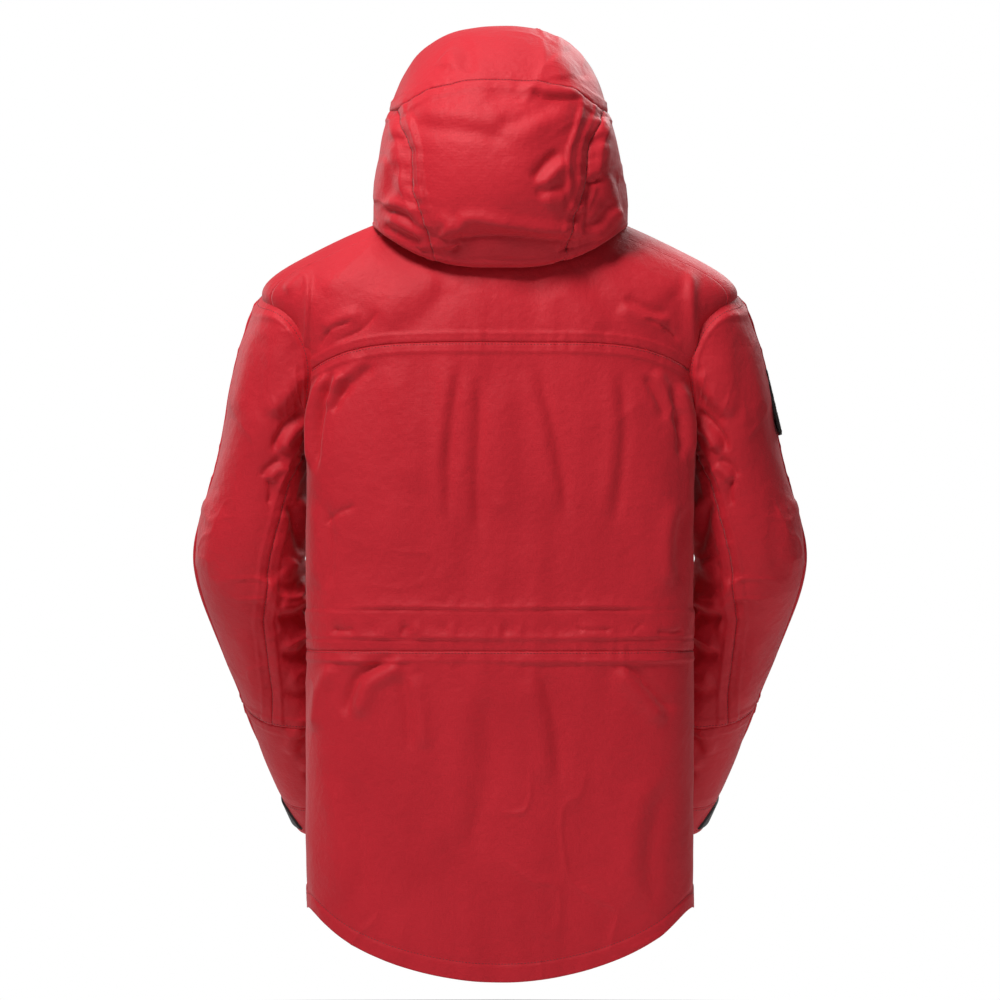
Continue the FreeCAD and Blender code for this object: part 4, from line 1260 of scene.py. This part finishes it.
def body_ring(name, low, high, gap, inset, thickness, material, slot_name, relief):
    """A band inside the body all the way round but for a gap in the front."""
    halves = [body_grid(table, low(table), high(table)) for table in (FRONT_TABLE, BACK_TABLE)]
    rows = min(len(half) for half in halves)
    left = np.concatenate([halves[0][:rows, :-1], halves[1][:rows]], axis=1)
    points = np.concatenate([left, mirrored(left[:, -2::-1])], axis=1)
    normals = body_normals(points)
    flow = grid_uv(points)
    shaped = points + normals * (relief(flow[..., 0], flow[..., 1]) - inset)[..., None]
    x, y = middle(points[..., 0]), middle(points[..., 1])
    keep = (np.abs(x) > gap) | (y > SIDE_SEAM_Y)
    piece = cloth(name, shaped, normals, flow, material, keep, thickness)
    place(piece, "torso", slot_name, [name])


def level_of(value):
    return lambda table: np.full(table.shape[1], value)


def hem_of(rise):
    """Height above the hem: level in front, the curve of the tail behind."""
    def height(table):
        if table is FRONT_TABLE:
            return np.full(table.shape[1], FRONT_HEM_Z + rise)
        side_x = body_points(table, np.full((1, table.shape[1]), -0.30))[0, :, 0]
        return tail_hem_z(side_x) + rise
    return height


def gathers(u, v):
    return 0.0005 * noise(u, v, 0.006, 0.050, 91)


def elastic_ribs(u, v):
    return 0.00025 * np.sin(v * 2 * np.pi / 0.004) + 0.0003 * noise(u, v, 0.008, 0.020, 92)


def zip_weave(x, z):
    return 0.0001 * np.sin(z * 2 * np.pi / 0.008) + 0.0003 * noise(x, z, 0.010, 0.030, 93)


def pocket_relief(x, z):
    return -0.0009 * bell(np.abs(x) - POCKET_X, 0.0012) + 0.0001 * noise(x, z, 0.006, 0.010, 94)


def bag_relief(x, z):
    return 0.0007 * noise(x, z, 0.024, 0.050, 95)


# inset from the cloth, thickness, material, slot and relief of the two kinds of band
FACING_BAND = (0.0040, 0.0012, LINING, "lining_fabric", gathers)
ELASTIC_BAND = (0.0028, 0.0008, WEBBING, "elastic", elastic_ribs)
WAIST_GAP, HEM_GAP = 0.128, 0.038
ZIP_TAPE_Z = (-0.7355, 0.0195)
ZIP_TEETH_Z = (-0.729, 0.014)
TOOTH_PITCH = 0.0022
TOOTH = (0.0013, 0.0008, 0.0007)            # half sizes: across the zip, along it, out of it
POCKET_TOOTH = (0.0008, 0.0014, 0.0005)


def build_bands():
    """Casing and facing inside the waist and the hem, each with its elastic."""
    body_ring("waist_casing", level_of(-0.476), level_of(-0.418), WAIST_GAP, *FACING_BAND)
    body_ring("waist_elastic", level_of(-0.460), level_of(-0.434), WAIST_GAP, *ELASTIC_BAND)
    body_ring("hem_facing", hem_of(0.001), hem_of(0.024), HEM_GAP, *FACING_BAND)
    body_ring("hem_elastic", hem_of(0.005), hem_of(0.015), HEM_GAP, *ELASTIC_BAND)


def span(sign, low, high):
    return (low, high) if sign > 0 else (-high, -low)


def build_zip_half(side, sign):
    """One side of the main zip: its woven tape and a row of teeth along the tape's edge."""
    shaped, normals = front_patch(f"{side}_zip_tape", span(sign, 0.0014, 0.017), ZIP_TAPE_Z, 0.0025, 0.0009,
                                  BLACK_TAPE, "zip_tape", zip_weave)
    edge = -1 if sign < 0 else 0
    line, ups = shaped[:, edge], normals[:, edge]
    line = line + (-sign * 0.0004, -0.0006, 0)
    at = np.arange(*ZIP_TEETH_Z, TOOTH_PITCH)
    centre = np.stack([np.interp(at, line[:, 2], line[:, k]) for k in range(3)], axis=1)
    tooth = np.broadcast_to((sign * 1.0, 0.0, 0.0), centre.shape)
    up = np.stack([np.interp(at, line[:, 2], ups[:, k]) for k in range(3)], axis=1)
    STITCH_LINES[f"{side}_zip_coil"] = [(centre + (sign * 0.0006, 0, sign * 0.00045), tooth, up)]
    coil = stitch_object(f"{side}_zip_coil", PLASTIC, TOOTH)
    place(coil, "torso", "zip_plastic", [f"{side}_zip_coil"])


def build_pocket(side, sign):
    """A pocket's zip, as a tape with a furrow of teeth and a stitch line at each edge, and its bag."""
    strip, ups = front_patch(f"{side}_pocket_zip", span(sign, 0.098, 0.112), (-0.452, -0.268), -0.0014,
                             0.0012, BLACK_TAPE, "zip_tape", pocket_relief)
    for column, pitch in ((strip.shape[1] // 2, 0.0020), (1, 0.0030), (-2, 0.0030)):
        stitch(f"{side}_pocket_teeth", strip[2:-2, column], ups[2:-2, column], pitch)
    teeth = stitch_object(f"{side}_pocket_teeth", PLASTIC, POCKET_TOOTH)
    place(teeth, "torso", "zip_plastic")
    front_patch(f"{side}_pocket_bag", span(sign, 0.036, 0.124), (-0.458, -0.248), 0.0035, 0.0008, LINING,
                "lining_fabric", bag_relief)


def build_trims():
    build_bands()
    for side, sign in (("left", 1), ("right", -1)):
        build_zip_half(side, sign)
        build_pocket(side, sign)
    front_patch("inner_storm_flap", (-0.014, 0.032), (-0.730, 0.0), 0.0080, 0.0014, LINING, "lining_fabric",
                bag_relief)


def build_hang_loop():
    """Twill tape sewn down at both ends, standing off the collar in an arc."""
    turn = np.linspace(0, np.pi, 41)
    arc = np.stack([-np.cos(turn) * 0.0162, -0.0032 - np.sin(turn) * 0.0110], axis=1)
    feet = np.linspace(0.0255, 0.0170, 6)
    foot_y = np.full(len(feet), -0.0028)
    path = np.concatenate([np.stack([-feet, foot_y], 1), arc, np.stack([feet[::-1], foot_y], 1)])
    height = np.linspace(0.0002, 0.0078, 9)
    points = np.empty((len(height), len(path), 3))
    points[..., :2] = path
    points[..., 2] = height[:, None]
    normals = outward(points, grid_normals(points), np.array([0, 0.02, 0.004]))
    ribs = 0.00012 * np.sin(np.arange(len(path))[None, :] * 1.3 + height[:, None] * 2000)
    shaped = points + normals * ribs[..., None]
    piece = cloth("hang_loop", shaped, normals, grid_uv(points), WEBBING, thickness=0.0012)
    place(piece, "torso", "webbing", ["hang_loop"])


def build_badge():
    """Flat loop panel sewn to the right upper arm, with rounded corners and a stitched border."""
    centre = np.array([-0.304866, -0.094, -0.193])
    out = np.array([-0.97237, 0, 0.233445])
    ahead = np.array([0, 1.0, 0])
    up = np.cross(out, ahead)
    up = up if up[2] > 0 else -up
    a = np.linspace(-1, 1, 60)[None, :] * 0.0218
    b = np.linspace(-1, 1, 96)[:, None] * 0.0378
    corner = np.hypot(np.maximum(np.abs(a) - 0.0158, 0), np.maximum(np.abs(b) - 0.0318, 0))
    loops = 0.00035 * noise(a + 0 * b, b + 0 * a, 0.0016, 0.0016, 96)
    height = loops - 0.0006 * smooth(np.maximum(np.abs(a) - 0.0190, np.abs(b) - 0.0350), 0, 0.0008) - 0.0002
    points = centre + ahead * (a + 0 * b)[..., None] + up * (b + 0 * a)[..., None]
    shaped = points + out * height[..., None]
    normals = outward(shaped, grid_normals(shaped), centre - out)
    keep = middle(corner) < 0.0062
    piece = cloth("sleeve_badge_patch", shaped, normals, grid_uv(points), PILE, keep, thickness=0.0030)
    place(piece, "right_sleeve", "loop_pile", ["sleeve_badge_patch"])


# ---- CAD pieces that stay -------------------------------------------------------------------------
NODE_MATERIALS = {
    METAL: ["zip_slider", "left_pocket_slider", "right_pocket_slider"],
    RUBBER: ["zip_pull", "left_cuff_tab", "right_cuff_tab"],
    PLASTIC: ["hood_lock_bodies", "hem_lock_bodies", "left_hood_lock_plunger", "right_hood_lock_plunger",
              "left_hem_lock_plunger", "right_hem_lock_plunger", "zip_retainer_box", "zip_insertion_pin",
              "zip_top_stops"],
    STEEL: ["hood_lock_springs", "hem_lock_springs"],
    PILE: ["left_cuff_loop_patch", "right_cuff_loop_patch"],
}


def dress_nodes():
    for material, names in NODE_MATERIALS.items():
        for name in names:
            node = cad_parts[name]
            node.data.materials.clear()
            node.data.materials.append(material)


AMBIENT = 0.11
FLOOR_Z = -1.05


# ---- stage, light and camera ----------------------------------------------------------------------
def build_stage():
    material, _ = new_material("studio_white", (0.90, 0.90, 0.90), 0.9)
    ring = np.linspace(0, 2 * np.pi, 65)[:-1]
    verts = [(2.9 * math.cos(a), 2.9 * math.sin(a), FLOOR_Z) for a in ring]
    floor = mesh_object("floor", verts, [tuple(range(64))], material)
    scene = bpy.context.scene
    scene.view_settings.view_transform = "Standard"
    world = bpy.data.worlds.new("studio")
    scene.world = world
    world.use_nodes = True
    n = Nodes(world)
    tree = world.node_tree
    output = next(node for node in tree.nodes if node.type == "OUTPUT_WORLD")
    glow = next(node for node in tree.nodes if node.type == "BACKGROUND")
    glow.inputs["Color"].default_value = (1, 1, 1, 1)
    glow.inputs["Strength"].default_value = AMBIENT
    white = n.add("ShaderNodeBackground")
    white.inputs["Color"].default_value = (1, 1, 1, 1)
    white.inputs["Strength"].default_value = 1.0
    seen = n.add("ShaderNodeLightPath").outputs["Is Camera Ray"]
    mix = n.add("ShaderNodeMixShader")
    n.link(seen, mix.inputs[0])
    n.link(glow.outputs[0], mix.inputs[1])
    n.link(white.outputs[0], mix.inputs[2])
    n.link(mix.outputs[0], output.inputs["Surface"])


def area_light(name, place_at, target, size, power):
    light = bpy.data.lights.new(name, "AREA")
    light.shape = "DISK"
    light.size = size
    light.energy = power
    lamp = bpy.data.objects.new(name, light)
    lamp.location = place_at
    direction = np.array(target) - np.array(place_at)
    from mathutils import Vector
    lamp.rotation_euler = Vector(direction).to_track_quat("-Z", "Y").to_euler()
    bpy.context.scene.collection.objects.link(lamp)


def build_lights():
    area_light("key", (0.80, 1.25, 1.60), (0, 0, 0.0), 0.7, 50)
    area_light("fill", (-1.8, 2.4, 0.9), (0, 0, -0.3), 1.6, 6)
    area_light("top", (0.3, -0.1, 2.4), (0, -0.1, 0), 1.2, 24)
    area_light("front", (-1.2, -2.6, 1.4), (0, 0, -0.3), 1.6, 46)
    area_light("front_side", (2.2, -2.0, 0.6), (0, 0, -0.3), 1.4, 18)


CAMERA_DISTANCE = 8.0
VIEW_WIDTH = 1.10
VIEW_CENTRE_Z = -0.3025
FOCUS_Y = -0.01


def build_camera():
    data = bpy.data.cameras.new("camera")
    data.sensor_width = 36.0
    data.lens = data.sensor_width * CAMERA_DISTANCE / VIEW_WIDTH
    data.clip_end = 100.0
    camera = bpy.data.objects.new("camera", data)
    camera.location = (0, FOCUS_Y + CAMERA_DISTANCE, VIEW_CENTRE_Z)
    camera.rotation_euler = (math.pi / 2, 0, math.pi)
    bpy.context.scene.collection.objects.link(camera)
    bpy.context.scene.camera = camera


build_back()
build_fronts()
build_collar()
build_sleeves()
build_hood()
build_trims()
build_hang_loop()
build_badge()
place(stitch_object("torso_stitches", THREAD), "torso", "shell_fabric")
dress_nodes()
build_stage()
build_lights()
build_camera()
